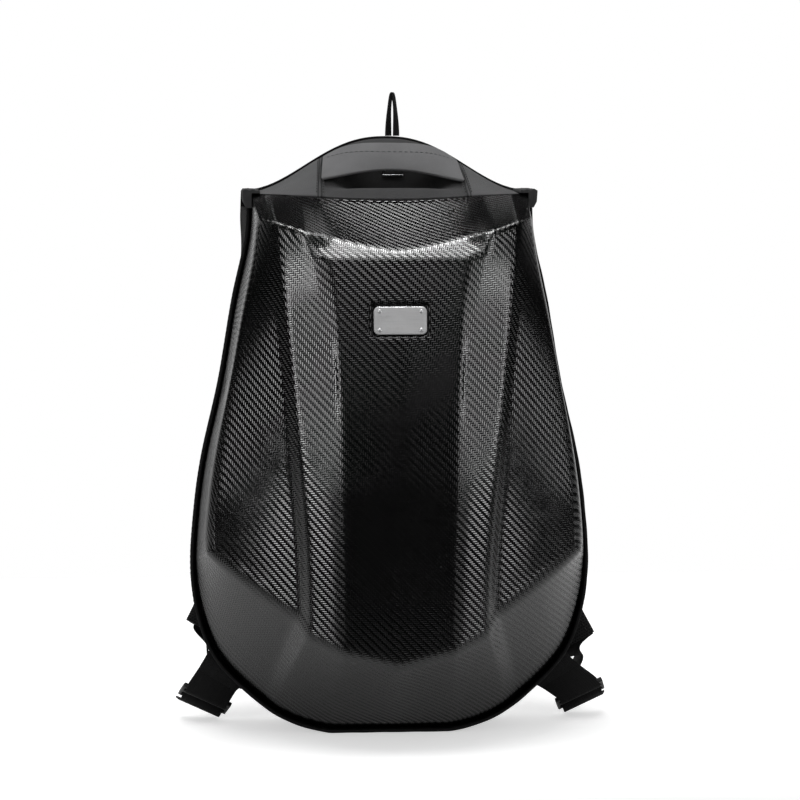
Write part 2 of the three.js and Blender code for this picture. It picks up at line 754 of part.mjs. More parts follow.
function hangLoop() {
  const foot = archHeight(LOOP_AT_X) + GAP;
  const y = GUSSET_BACK + BACK_THICKNESS / 2;
  const places = Array.from({ length: LOOP_STEPS + 1 }, (_, index) => {
    const turn = mix(-1, 1, index / LOOP_STEPS);
    const rise = Math.cos((Math.PI / 2) * Math.abs(turn) ** LOOP_EASE);
    const twist = mix(Math.PI / 4, Math.PI / 2, easeBetween(0, LOOP_TWISTED_BY, rise));
    const spread = LOOP_HALF_SPAN * Math.sin((Math.PI / 2) * turn);
    return {
      at: new THREE.Vector3(LOOP_AT_X + spread, y, mix(foot, LOOP_TOP, rise)),
      side: new THREE.Vector3(Math.cos(twist), Math.sin(twist), 0),
      halfWidth: LOOP_WIDTH / 2,
      halfThick: LOOP_THICKNESS / 2,
    };
  });
  return sweep(FLAT_SECTION, stationsAlong(places));
}

function cornerTab(side) {
  const bottom = CORNER_HEIGHT + GAP;
  const outer = OUTLINE.at(-1).halfWidth + BACK_FLARE;
  const inner = SHELL_CORNER.x + 2 * GAP;
  const ceiling = SHELL_CORNER.z + 2 * GAP;
  const top = ceiling + TAB_WALL;
  const profile = [
    [TAB_INNER, ceiling], [inner, ceiling], [inner, bottom], [outer, bottom],
    [outer, top - TAB_ROUND], [outer - TAB_WALL, top], [TAB_INNER, top - TAB_FALL],
  ];
  const shape = new THREE.Shape(profile.map(([x, z]) => new THREE.Vector2(side * x, z)));
  const depth = GUSSET_BACK - GAP - TAB_FRONT;
  const geometry = new THREE.ExtrudeGeometry(shape, { depth, bevelEnabled: false });
  return geometry.rotateX(Math.PI / 2).translate(0, TAB_FRONT + depth, 0);
}

// Straps and adjusters, each made for the right with a side of 1 or the left with a side of -1

function mirrored(vector, side) {
  return new THREE.Vector3(vector.x * side, vector.y, vector.z);
}

const STRAP_BACK = GUSSET_BACK + GAP + BACK_THICKNESS;

// How far a strap or lock comes in from its place in the table, at a height
function drawnIn(side, height) {
  const { by, from, to } = LEFT_DRAWN_IN;
  return side < 0 ? by * (1 - easeBetween(to, from, height)) : 0;
}

function strapPlaces(side) {
  const curve = new THREE.CatmullRomCurve3(
    STRAP_STATIONS.map(({ x, stand, z }) => {
      const aside = x - drawnIn(side, z);
      return new THREE.Vector3(side * aside, STRAP_BACK + stand, z);
    }),
    false,
    "centripetal",
  );
  return Array.from({ length: STRAP_STEPS + 1 }, (_, index) => {
    const share = index / STRAP_STEPS;
    const along = curve.getTangent(share);
    const station = share * (STRAP_STATIONS.length - 1);
    const row = Math.min(Math.floor(station), STRAP_STATIONS.length - 2);
    const halfWidth = mix(STRAP_STATIONS[row].halfWidth, STRAP_STATIONS[row + 1].halfWidth, station - row);
    const across = along.clone().cross(BACKWARD).normalize();
    return { at: curve.getPoint(share), side: across, halfWidth, halfThick: STRAP_THICKNESS / 2 };
  });
}

function shoulderStrap(side) {
  return sweep(PAD_SECTION, stationsAlong(strapPlaces(side)));
}

// Axes of a ladder lock: along its bars, along the webbing's pull and out of its face
function lockAxes(side) {
  const long = mirrored(LOCK_LONG, side);
  const pull = mirrored(LOCK_PULL, side);
  pull.addScaledVector(long, -pull.dot(long)).normalize();
  const face = mirrored(LOCK_LONG.clone().cross(LOCK_PULL), side).normalize();
  const at = mirrored(LOCK_AT, side);
  at.x -= side * drawnIn(side, at.z);
  return { long, pull, face, at };
}

function ladderLock(side) {
  const halfPull = LOCK_PITCH + LOCK_BAR / 2;
  const shape = roundedRectangle(LOCK_LENGTH, 2 * halfPull, LOCK_CORNER);
  const slotHalf = LOCK_LENGTH / 2 - LOCK_RAIL;
  [-1, 1].forEach((half) => {
    const near = half * (LOCK_BAR / 2);
    const far = half * (LOCK_PITCH - LOCK_BAR / 2);
    const slot = new THREE.Path();
    slot.moveTo(-slotHalf, near).lineTo(slotHalf, near);
    slot.lineTo(slotHalf, far).lineTo(-slotHalf, far).closePath();
    shape.holes.push(slot);
  });
  const options = { depth: LOCK_THICKNESS, bevelEnabled: false, curveSegments: 4 };
  const geometry = new THREE.ExtrudeGeometry(shape, options).translate(0, 0, -LOCK_THICKNESS / 2);
  const { pull, face, at } = lockAxes(side);
  const across = pull.clone().cross(face);
  return geometry.applyMatrix4(new THREE.Matrix4().makeBasis(across, pull, face).setPosition(at));
}

// A point in a lock's frame, by its place along the pull and out of the face
function lockPoint({ at, pull, face }, alongPull, outOfFace) {
  return at.clone().addScaledVector(pull, alongPull).addScaledVector(face, outOfFace);
}

const WRAP_RADIUS = Math.hypot(LOCK_BAR, LOCK_THICKNESS) / 2 + WEBBING_CLEAR + WEBBING_THICKNESS / 2;

// Points of webbing bent round a lock's bar, by angles in degrees from the pull direction towards the face
function wrapPoints(lock, bar, angles) {
  return angles.map((angle) => {
    const turn = THREE.MathUtils.degToRad(angle);
    return lockPoint(lock, bar + WRAP_RADIUS * Math.cos(turn), WRAP_RADIUS * Math.sin(turn));
  });
}

// Stations of webbing along a route; sideAt gives its width direction at a share of the route
function ribbonPlaces(route, steps, sideAt) {
  const curve = new THREE.CatmullRomCurve3(route, false, "centripetal");
  return Array.from({ length: steps + 1 }, (_, index) => {
    const share = index / steps;
    const side = sideAt(share).normalize();
    return { at: curve.getPoint(share), side, halfWidth: WEBBING_HALF, halfThick: WEBBING_THICKNESS / 2 };
  });
}

// Doubled webbing from the bag's lower corner round the lock's inner bar and back
function anchorWebbing(side) {
  const lock = lockAxes(side);
  const normal = outlineNormal(side * ANCHOR_SHARE);
  const tangent = new THREE.Vector3(-normal.z, 0, normal.x).multiplyScalar(side);
  const seat = outlinePoint(side * ANCHOR_SHARE).setY(ANCHOR_Y);
  const fromSeat = (out, back) => seat.clone().addScaledVector(normal, out).addScaledVector(BACKWARD, back);
  const route = [
    fromSeat(ANCHOR_CLEAR, -ANCHOR_LAYERS),
    fromSeat(ANCHOR_CLEAR + ANCHOR_STRAIGHT, -ANCHOR_LAYERS),
    ...wrapPoints(lock, -LOCK_PITCH, ANCHOR_BEND),
    fromSeat(ANCHOR_CLEAR + ANCHOR_STRAIGHT, ANCHOR_LAYERS),
    fromSeat(ANCHOR_CLEAR, ANCHOR_LAYERS),
  ];
  const fromLock = (share) => Math.abs(2 * share - 1);
  const places = ribbonPlaces(route, ANCHOR_STEPS, (share) => {
    const turned = easeBetween(ANCHOR_TURN.from, ANCHOR_TURN.to, fromLock(share));
    return lock.long.clone().lerp(tangent, turned);
  });
  places.forEach((place, index) => {
    const widened = easeBetween(ANCHOR_WIDEN.from, ANCHOR_WIDEN.to, fromLock(index / ANCHOR_STEPS));
    place.halfWidth += ANCHOR_SPREAD * widened;
  });
  return sweep(FLAT_SECTION, stationsAlong(places));
}

// Adjuster webbing from the padded strap's end down through the lock's outer slot to its free tail
function strapWebbing(side) {
  const lock = lockAxes(side);
  const strapEnd = strapPlaces(side);
  const last = strapEnd.at(-1);
  const along = last.at.clone().sub(strapEnd.at(-2).at).normalize();
  const start = last.at.clone().addScaledVector(along, STRAP_END_CLEAR);
  const tailTurn = lockPoint(lock, LOCK_PITCH + WRAP_RADIUS, -WRAP_RADIUS);
  const tailEnd = tailTurn.clone().addScaledVector(lock.pull, TAIL_LENGTH).addScaledVector(UP, TAIL_LIFT);
  const route = [
    start,
    start.clone().addScaledVector(along, STRAP_END_STRAIGHT),
    lockPoint(lock, LOCK_PITCH - WRAP_RADIUS, TAIL_DROP),
    ...wrapPoints(lock, LOCK_PITCH, TAIL_BEND),
    tailTurn,
    tailEnd,
  ];
  const places = ribbonPlaces(route, TAIL_STEPS, (share) =>
    last.side.clone().lerp(lock.long, easeBetween(STRAP_TURN.from, STRAP_TURN.to, share)),
  );
  return sweep(FLAT_SECTION, stationsAlong(places));
}

// The assembled bag

function named(name, geometry, material) {
  const mesh = new THREE.Mesh(geometry, material);
  mesh.name = name;
  return mesh;
}

function plateGroup() {
  const group = plateFrame();
  group.add(named("name_plate", namePlate(), MATERIALS.metal));
  const x = PLATE_WIDTH / 2 - RIVET_INSET_X;
  const y = PLATE_HEIGHT / 2 - RIVET_INSET_Z;
  const places = [[-x, y], [x, y], [-x, -y], [x, -y]];
  places.forEach(([across, up], index) => {
    const mesh = named(`plate_rivet_${index + 1}`, rivet(), MATERIALS.metal);
    mesh.position.set(across, up, PLATE_THICKNESS + 2 * GAP);
    group.add(mesh);
  });
  return group;
}

const bag = new THREE.Group();
bag.add(
  ...shellPieces(),
  named("edge_binding", edgeBinding(), MATERIALS.binding),
  named("side_gusset", sideGusset(), MATERIALS.cloth),
  named("top_panel", topPanel(), MATERIALS.cloth),
  named("back_panel", backPanel(), MATERIALS.padding),
  named("haul_handle", haulHandle(), MATERIALS.handle),
  named("hang_loop", hangLoop(), MATERIALS.webbing),
  named("zip_pull", zipPull(), MATERIALS.metal),
  plateGroup(),
);
const SIDES = [
  { word: "left", side: -1 },
  { word: "right", side: 1 },
];
SIDES.forEach(({ word, side }) => {
  bag.add(
    named(`corner_tab_${word}`, cornerTab(side), MATERIALS.cloth),
    named(`shoulder_strap_${word}`, shoulderStrap(side), MATERIALS.padding),
    named(`strap_webbing_${word}`, strapWebbing(side), MATERIALS.webbing),
    named(`ladder_lock_${word}`, ladderLock(side), MATERIALS.plastic),
    named(`anchor_webbing_${word}`, anchorWebbing(side), MATERIALS.webbing),
  );
});

// The origin is on the floor, under the middle of the whole bag
const middle = new THREE.Box3().setFromObject(bag, true).getCenter(new THREE.Vector3());
bag.position.set(-middle.x, -middle.y, 0);

export default bag;
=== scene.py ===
"""Motorcycle backpack with a moulded twill shell, sewn cloth and padded straps.

Sizes and helpers work in millimetres from the middle of the shell's rim plane:
x to the right, y towards the wearer and z up from the floor.
"""

import math

import bpy
import numpy as np
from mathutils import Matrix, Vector


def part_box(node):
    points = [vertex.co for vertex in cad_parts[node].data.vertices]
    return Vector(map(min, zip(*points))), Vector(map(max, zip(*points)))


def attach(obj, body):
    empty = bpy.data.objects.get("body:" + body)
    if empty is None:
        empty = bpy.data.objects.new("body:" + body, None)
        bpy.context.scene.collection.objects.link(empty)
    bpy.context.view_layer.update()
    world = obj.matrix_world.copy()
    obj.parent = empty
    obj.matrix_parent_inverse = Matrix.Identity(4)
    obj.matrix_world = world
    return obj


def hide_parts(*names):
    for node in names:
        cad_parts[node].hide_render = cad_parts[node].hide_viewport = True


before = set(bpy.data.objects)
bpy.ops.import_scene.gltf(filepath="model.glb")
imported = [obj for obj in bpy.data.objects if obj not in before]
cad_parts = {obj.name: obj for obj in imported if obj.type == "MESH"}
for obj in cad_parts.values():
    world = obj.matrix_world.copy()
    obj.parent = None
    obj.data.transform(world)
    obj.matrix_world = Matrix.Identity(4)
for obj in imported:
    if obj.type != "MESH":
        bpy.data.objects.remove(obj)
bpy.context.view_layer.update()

bl_info = {
    "name": "Motorcycle Backpack",
    "version": (1, 0, 0),
    "blender": (4, 5, 0),
    "location": "View3D > Sidebar > Backpack",
    "description": "Builds a backpack with a moulded twill shell, sewn cloth and padded straps",
    "category": "Object",
}

SHELL_NODES = ("shell_front", "shell_wing_left", "shell_wing_right", "shell_chin", "shell_crown")
RIM_LOW, RIM_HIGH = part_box("edge_binding")
RIM_Y = max(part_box(node)[1].y for node in SHELL_NODES)
RIM_MIDDLE = np.array(((RIM_LOW.x + RIM_HIGH.x) / 2, RIM_Y, 0))
MM = 0.001
SIDES = (("left", -1), ("right", 1))
RIGHT = np.array((1.0, 0, 0))
UP = np.array((0, 0, 1.0))
BACKWARD = np.array((0, 1.0, 0))


def table(columns, *rows):
    """A short table with named columns."""
    return np.array(list(rows), dtype=[(name, float) for name in columns.split()])


# Outline and depth of the bag; a pair of heights or shares is where a change starts and ends

GAP = 0.3  # between neighbouring pieces
OUTLINE = (
    (0, 0), (50, 0), (90, 12.5), (124.5, 39), (148, 66), (160.5, 98), (166, 138),
    (163, 190), (157, 232), (142.5, 296), (130.5, 365), (119.5, 416), (117.5, 450),
)
CORNER_HEIGHT = 438  # where side cloth and binding end
BACK_FLARE = 4  # of the cloth's back edge at the top corners
FLARE_HEIGHTS = (385, 432)
SIDE_DRAW = 2.5  # how far the cloth's back edge lies inside the outline below the flare
DRAW_HEIGHTS = (60, 140)
BINDING_THICKNESS = 3.2
BINDING_FRONT = -2
BINDING_BACK = 7
BINDING_CLEAR = 0.8
RIM_INSET = BINDING_THICKNESS + BINDING_CLEAR
GUSSET_BACK = 52
BACK_THICKNESS = 14
CLOTH_WALL = 2
SHELL_WALL = 2.2
ARCH_TOP = 497
ARCH_FOOT = 452
ARCH_HALF = 119
ARCH_EASE = 1.15

# Half widths of the shell's feature lines, and their depths in front of the rim
HALF_WIDTHS = table(
    "height panel brow valley shoulder",
    (80, 42, 70, 77, 140),
    (165, 43.5, 73.5, 80.5, 147.5),
    (250, 47, 80, 87, 140.5),
    (320, 48.5, 86, 93, 127.5),
    (380, 52, 92, 98, 116),
    (440, 66, 97, 100, 107),
)
DEPTHS = table(
    "height centre brow valley shoulder",
    (80, 112, 99, 89, 54),
    (165, 121, 107, 95, 62),
    (250, 122, 108, 96, 65),
    (320, 119, 105, 94, 70),
    (380, 113, 97, 89, 68),
    (440, 101, 83, 80, 62),
)

# Feature lines from the middle outward: the heights where each starts and ends, how the crown edge rises
# towards the next, where it meets the rim, the columns outside it, and how soft it and that stretch are
LINE_NAMES = ("centre", "panel", "foot", "brow", "valley", "shoulder")
LINES = table(
    "chin crown crown_ease rim_share columns soft soft_between",
    (80, 404, 1.5, 0, 22, 5, 5),
    (91, 416, 1, 0.085, 4, 0.9, 0.9),
    (92, 417, 1, 0.09, 18, 0.9, 5),
    (106, 425, 1, 0.185, 6, 2.8, 2.5),
    (120, 425, 1, 0.21, 24, 1.6, 5),
    (166, 427, 1, 0.455, 0, 6, 6),
)

# Shell
FRONT_ROWS = 170
PANEL_CROWN = 1.5  # from the centre line back to the panel's edges
PANEL_STEP = 2.5
PANEL_FOOT_SOFT = 7  # where the step has faded out
STEP_HEIGHTS = (180, 330)
STEP_RUN = 2.5
STEP_RUN_TOP = 12
RUN_HEIGHTS = (290, 400)
WING_SWELL = 1
CHIN_REACH = 40  # the chin's softness fades out this far above it
CHIN_ROUND = 8
CHIN_SOFT = 2
SHOULDER_ROUND = 16
SHOULDER_SOFT = 13
CROWN_ROUND_MIDDLE = 3
CROWN_ROUND_SIDE = 4
CROWN_SOFT_MIDDLE = 1.4
CROWN_SOFT_SIDE = 2
CROWN_SIDES = (52, 76)  # half widths where the crown's middle passes into its sides
FRONT_FALL = 0.2  # backward for each millimetre outward, in the rounding at the front's edge
BEVEL_FROM = 401.3  # height where the crown's middle starts to lean back
BEVEL_LEAN = 0.75  # backward for each millimetre up
BEVEL_SOFT = 1.4
BEVEL_NEAR = 14  # its softness comes in over this height below it
LONGEST_ROUND = 0.45  # of the way to the rim
TOP_BOW = 20  # of the shell's top edge, forward in its middle
TOP_DIP = 4  # of the same edge, down in its middle
SCOOP = 1  # sag between the crown and that edge
BEND_RINGS = 10
WALL_RINGS = 26
LIP_DEPTH = 6
ROUNDING_TURNS = 60
MOST_DRIFT = 0.9  # of the way to the neighbours in one turn
LEAST_EDGE = 1e-3
TWILL_LEVEL = 250  # height where the twill's rows are level

# Plate
PLATE_WIDTH = 42
PLATE_HEIGHT = 22
PLATE_THICKNESS = 1.6
PLATE_CORNER = 4
PLATE_AT = 352  # height of its middle
RECESS_MARGIN = 3
RECESS_DEPTH = 1.3
RECESS_RUN = 3
RECESS_REACH = 20  # only the front this close to the plate is pressed in

# Top cloth and handle
TOP_HALF = 106.5
TOP_BACK = 50.6
# Waves of the top cloth under the handle, by share of the slope from the shell to the back
CREST = {"height": 2, "start": 0, "end": 0.26}
HOLLOW = {"height": -17, "start": 0.1, "end": 0.9}
SEAM_MIDDLE = 3
SEAM_HALF = 57.5
SEAM_LEAN = 4
GORE_SWELL = 3.5
GORE_RISE = 2
GORE_FALL = 4
HANDLE_MIDDLE = 3
HANDLE_HALF = 55.5
HANDLE_THICKNESS = 3
HANDLE_EASE = 1.2
HANDLE_CLEAR = 0.7
HANDLE_END_Y = 26
HANDLE_END_HALF = 20
HANDLE_MID_Y = 10
HANDLE_MID_RISE = 13.5
HANDLE_MID_HALF = 13
HANDLE_MID_TILT = 58  # degrees
SWELL_SIDES = (HANDLE_HALF / 2, HANDLE_HALF)  # where the waves under the handle fade out

# Straps, locks and webbing, as on the right side; a strap's stand is its distance behind the back panel
STRAP_STATIONS = table(
    "x stand z half_width",
    (42, 6.4, 448, 31),
    (45, 9, 425, 31),
    (54, 30, 375, 31),
    (70, 45, 310, 31),
    (91, 48, 235, 30),
    (119, 40, 155, 27),
    (147, 27, 92, 22),
    (166, 18, 59, 20),
)
LEFT_DRAWN_IN = 13  # the left strap hangs further in
DRAWN_HEIGHTS = (92, 310)
LEFT_SHORT = 0.33  # of the last span between stations
LEFT_WIDER = 6
WIDER_HEIGHTS = (150, 100)
LOCK_LENGTH = 44
LOCK_BAR = 4.5
LOCK_PITCH = 9.5  # between its bars
LOCK_RAIL = 2.5
LOCK_THICKNESS = 4
LOCK_AT = np.array((167, 55, 20.5))
LOCK_LONG = np.array((0.906, 0, 0.42)) / math.hypot(0.906, 0.42)
LOCK_PULL = np.array((0.21, 0.86, -0.45))
WEBBING_HALF = 18.5
WEBBING_THICKNESS = 1.6
WEBBING_CLEAR = 0.7
WEBBING_RIB = 1.1
WRAP_RADIUS = math.hypot(LOCK_BAR, LOCK_THICKNESS) / 2 + WEBBING_CLEAR + WEBBING_THICKNESS / 2
STRAP_END_STEPS = 20
STRAP_END_TUCK = 2  # the webbing starts this far inside the pad
STRAP_END_STRAIGHT = 11
TURN_SHARES = (0.1, 0.36)  # from the strap's direction to the lock's
EDGE_ON_SHARES = (0.02, 0.14)
EDGE_OFF_SHARES = (0.3, 0.44)
TAIL_LENGTH = 16
TAIL_LIFT = 7
TAIL_DROP = 18
TAIL_BEND = (180, 225, 270)  # degrees round the lock's bar
ANCHOR_SHARE = 0.268  # of the way up the outline
ANCHOR_Y = 34
ANCHOR_CLEAR = 0.4
ANCHOR_STRAIGHT = 6
ANCHOR_LAYERS = 1.9  # from the middle to each of its two layers
ANCHOR_BEND = (60, 30, 0, -40, -80, -110, -140)
ANCHOR_TURN_SHARES = (0.62, 0.92)
ANCHOR_SPREAD = 3
SPREAD_SHARES = (0.7, 1)

# Stitches; their profile holds the share of the length, the lift off the cloth and the share of the radius
STITCH_LENGTH = 3.2
STITCH_GAP = 1.5
STITCH_RADIUS = 0.36
STITCH_SIDES = 6
STITCH_PROFILE = ((0, -0.3, 0.5), (0.2, 0.25, 1), (0.8, 0.25, 1), (1, -0.3, 0.5))
STITCH_SINK = 0.4  # of rows along the outline into the cloth


# Curves and tables

def mix(start, end, share):
    return start + (end - start) * share


def ease(low, high, value):
    share = np.clip((value - low) / (high - low), 0, 1)
    return share * share * (3 - 2 * share)


def unit(vectors):
    return vectors / np.linalg.norm(vectors, axis=-1, keepdims=True)


def hermite(start, start_slope, end, end_slope, t):
    held = ((2 * t - 3) * t * t + 1) * start + (3 - 2 * t) * t * t * end
    return held + ((t - 2) * t + 1) * t * start_slope + (t - 1) * t * t * end_slope


def column_at(rows, name, height):
    """Smooth value of one column of a table that is sorted by height."""
    heights = rows["height"]
    values = rows[name]
    order = np.arange(len(heights))
    before = np.maximum(order - 1, 0)
    after = np.minimum(order + 1, len(heights) - 1)
    slopes = (values[after] - values[before]) / (heights[after] - heights[before])
    row = np.clip(np.searchsorted(heights, height) - 1, 0, len(heights) - 2)
    run = heights[row + 1] - heights[row]
    t = np.clip((height - heights[row]) / run, 0, 1)
    return hermite(values[row], slopes[row] * run, values[row + 1], slopes[row + 1] * run, t)


def curve_through(points, steps):
    """Points on a smooth curve through the given ones, at even shares of its spans."""
    points = np.asarray(points, float)
    padded = np.vstack([2 * points[0] - points[1], points, 2 * points[-1] - points[-2]])
    place = np.linspace(0, len(points) - 1, steps + 1)
    span = np.minimum(place.astype(int), len(points) - 2)
    before, start, end, after = (padded[span + offset] for offset in range(4))
    first, middle, last = (
        np.sqrt(np.linalg.norm(b - a, axis=1, keepdims=True))
        for a, b in ((before, start), (start, end), (end, after))
    )
    start_slope = (start - before) / first - (end - before) / (first + middle) + (end - start) / middle
    end_slope = (end - start) / middle - (after - start) / (middle + last) + (after - end) / last
    return hermite(start, start_slope * middle, end, end_slope * middle, (place - span)[:, None])


def lengths_along(points):
    """Distance of each point from the first, along the line through them."""
    steps = np.linalg.norm(np.diff(points, axis=0), axis=-1)
    return np.concatenate([np.zeros_like(steps[:1]), np.cumsum(steps, axis=0)])


def sampled(wanted, places, values):
    """Rows of values, read off at the wanted places."""
    return np.stack([np.interp(wanted, places, column) for column in values.T], axis=1)


def evenly(points, count):
    """The same line with its points spaced evenly."""
    length = lengths_along(points)
    return sampled(np.linspace(0, length[-1], count), length, points)


# The bag's outline

OUTLINE_STEPS = 2400
OUTLINE_LINE = evenly(curve_through(OUTLINE, OUTLINE_STEPS), OUTLINE_STEPS + 1)


def outline_point(share):
    """From -1 at the left top corner through 0 at the base to 1 at the right top corner."""
    share = np.asarray(share, float)
    place = np.clip(np.abs(share), 0, 1) * OUTLINE_STEPS
    order = np.arange(len(OUTLINE_LINE))
    x = np.interp(place, order, OUTLINE_LINE[:, 0]) * np.sign(share)
    z = np.maximum(np.interp(place, order, OUTLINE_LINE[:, 1]), 0)
    return np.stack([x, np.zeros_like(x), z], axis=-1)


def outline_normal(share):
    step = 0.004
    run = outline_point(np.minimum(share + step, 1)) - outline_point(np.maximum(share - step, -1))
    return unit(np.stack([run[..., 2], np.zeros_like(run[..., 0]), -run[..., 0]], axis=-1))


def inset_point(share, inset):
    return outline_point(share) - outline_normal(share) * inset


def rim_shares_between_corners(count):
    """Even places along the outline from one top corner down and round to the other."""
    upper = OUTLINE_LINE[len(OUTLINE_LINE) // 2:]
    end = np.interp(CORNER_HEIGHT, upper[:, 1], np.linspace(0.5, 1, len(upper)))
    return np.linspace(-end, end, count)


def flare_at(height):
    """How far the cloth's back edge stands outside the outline."""
    drawn = -SIDE_DRAW * ease(*DRAW_HEIGHTS, height)
    return mix(drawn, BACK_FLARE, ease(*FLARE_HEIGHTS, height))


def arch_height(x):
    share = np.minimum(np.abs(x) / ARCH_HALF, 1)
    return ARCH_FOOT + (ARCH_TOP - ARCH_FOOT) * (1 + np.cos(np.pi * share ** ARCH_EASE)) / 2


SHELL_CORNER = inset_point(np.array(1.0), RIM_INSET)


def top_edge_point(share):
    bow = 1 - share * share
    z = SHELL_CORNER[2] - TOP_DIP * bow * bow
    return np.stack([share * SHELL_CORNER[0], -TOP_BOW * bow, z], axis=-1)


# Meshes

def add_object(name, data):
    made = bpy.data.objects.new(name, data)
    bpy.context.scene.collection.objects.link(made)
    return made


def grid_faces(rows, columns, wrap=False, start=0):
    """Faces of a grid of points, seen from the side where columns go right and rows go up."""
    index = start + np.arange(rows * columns).reshape(rows, columns)
    if wrap:
        index = np.hstack([index, index[:, :1]])
    corners = (index[:-1, :-1], index[:-1, 1:], index[1:, 1:], index[1:, :-1])
    return np.stack(corners, axis=-1).reshape(-1, 4)


def add_piece(name, points, faces, material, nodes=(), slot=None, weave=None, sharp=None):
    """A mesh in the bag's frame; weave holds cloth coordinates in millimetres for its material."""
    mesh = bpy.data.meshes.new(name)
    placed = np.reshape(points, (-1, 3)) * MM + RIM_MIDDLE
    mesh.from_pydata(placed.tolist(), [], [list(face) for face in faces])
    mesh.shade_smooth()
    if sharp:
        mesh.set_sharp_from_angle(angle=math.radians(sharp))
    if weave is not None:
        flat = np.zeros((len(placed), 3))
        flat[:, :weave.shape[-1]] = np.reshape(weave, (-1, weave.shape[-1]))
        layer = mesh.attributes.new("weave", "FLOAT_VECTOR", "POINT")
        layer.data.foreach_set("vector", flat.ravel())
    mesh.materials.append(material)
    piece = add_object(name, mesh)
    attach(piece, "root")
    if nodes:
        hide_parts(*nodes)
    return piece


def add_loft(name, rings, material, weave, **options):
    """A closed body through rings of points, with flat ends."""
    count, corners = rings.shape[:2]
    faces = grid_faces(count, corners, wrap=True).tolist()
    faces.append(list(range(corners))[::-1])
    faces.append([(count - 1) * corners + corner for corner in range(corners)])
    return add_piece(name, rings, faces, material, weave=weave, **options)


def rounded_section(round_share, steps):
    """A flat section with rounded edges, in shares of the half width and half thickness."""
    turn = np.linspace(-np.pi / 2, np.pi / 2, steps)
    right = np.stack([1 - round_share + round_share * np.cos(turn), np.sin(turn)], axis=1)
    return np.vstack([right, -right])


def thickness_directions(at, side):
    before = np.vstack([at[:1], at[:-1]])
    after = np.vstack([at[1:], at[-1:]])
    return unit(np.cross(unit(after - before), side))


def swept(section, at, side, half_width, half_thick, out=None):
    """Rings of a section along stations, and their cloth coordinates across and along."""
    if out is None:
        out = thickness_directions(at, side)
    across = section[None, :, :1] * np.reshape(half_width, (-1, 1, 1))
    through = section[None, :, 1:] * np.reshape(half_thick, (-1, 1, 1))
    rings = at[:, None] + side[:, None] * across + out[:, None] * through
    along = lengths_along(at)[:, None, None]
    shape = (*rings.shape[:2], 1)
    return rings, np.concatenate([np.broadcast_to(across, shape), np.broadcast_to(along, shape)], axis=-1)


def surface_normals(grid):
    rise = np.gradient(grid, axis=0)
    run = np.gradient(grid, axis=1)
    return unit(np.cross(run, rise))


def border(rows, columns):
    """Indices round the edge of a grid, anticlockwise as seen from its outer side."""
    index = np.arange(rows * columns).reshape(rows, columns)
    return np.concatenate([index[0], index[1:-1, -1], index[-1, ::-1], index[-2:0:-1, 0]])


def grid_weave(grid):
    """Cloth coordinates of a grid, measured along its columns and rows from its middle."""
    rows, columns = grid.shape[:2]
    across = lengths_along(np.swapaxes(grid, 0, 1)).T
    across = across - across[:, columns // 2, None]
    along = lengths_along(grid)
    along = along - along[rows // 2]
    return np.stack([across, along], axis=-1).reshape(-1, 2)


def add_closed(name, outer, inner, material, weave, **options):
    """A closed body between two grids of points that share their cloth coordinates."""
    rows, columns = outer.shape[:2]
    count = rows * columns
    edge = border(rows, columns)
    following = np.roll(edge, -1)
    faces = np.vstack([
        grid_faces(rows, columns),
        grid_faces(rows, columns, start=count)[:, ::-1],
        np.stack([edge, edge + count, following + count, following], axis=1),
    ])
    points = np.vstack([outer.reshape(-1, 3), inner.reshape(-1, 3)])
    return add_piece(name, points, faces, material, weave=np.vstack([weave, weave]), **options)


def add_cloth(name, grid, material, tone=None, **options):
    """Cloth whose outer face is the grid; tone lightens or darkens it as painted light and shade."""
    weave = grid_weave(grid)
    if tone is not None:
        weave = np.hstack([weave, tone.reshape(-1, 1)])
    return add_closed(name, grid, grid - surface_normals(grid) * CLOTH_WALL, material, weave, **options)


def add_stitching(name, rows, material):
    """Threads along rows; each row is a line of points with the cloth's normals there."""
    points = []
    faces = []
    turn = np.linspace(0, 2 * np.pi, STITCH_SIDES, endpoint=False)
    for line, normals in rows:
        length = lengths_along(line)
        starts = np.arange(0, length[-1] - STITCH_LENGTH, STITCH_LENGTH + STITCH_GAP)
        for start in starts:
            first = len(points) * STITCH_SIDES
            wanted = start + STITCH_LENGTH * np.array([row[0] for row in STITCH_PROFILE])
            at = sampled(wanted, length, line)
            out = unit(sampled(wanted, length, normals))
            side = unit(np.cross(out, at[-1] - at[0]))
            for (_, lift, share), centre, normal, beside in zip(STITCH_PROFILE, at, out, side):
                ring = np.cos(turn)[:, None] * beside + np.sin(turn)[:, None] * normal
                points.append(centre + normal * lift + ring * STITCH_RADIUS * share)
            faces.extend(grid_faces(len(STITCH_PROFILE), STITCH_SIDES, wrap=True, start=first).tolist())
    return add_piece(name, np.vstack(points), faces, material)


# Materials

class Nodes:
    """Adds nodes to a tree; inputs are sockets or plain values."""

    def __init__(self, tree):
        self.tree = tree

    def feed(self, socket, value):
        if isinstance(value, bpy.types.NodeSocket):
            self.tree.links.new(value, socket)
        else:
            socket.default_value = value

    def node(self, kind, inputs=(), **settings):
        made = self.tree.nodes.new(kind)
        for key, value in settings.items():
            setattr(made, key, value)
        for key, value in dict(inputs).items():
            self.feed(made.inputs[key], value)
        return made

    def math(self, operation, *values):
        return self.node("ShaderNodeMath", enumerate(values), operation=operation).outputs[0]

    def split(self, vector):
        return self.node("ShaderNodeSeparateXYZ", {"Vector": vector}).outputs

    def spread(self, value, low, high, new_low, new_high, **settings):
        """Carries a value over from one range to another."""
        inputs = {"Value": value, "From Min": low, "From Max": high, "To Min": new_low, "To Max": new_high}
        return self.node("ShaderNodeMapRange", inputs, **settings).outputs["Result"]


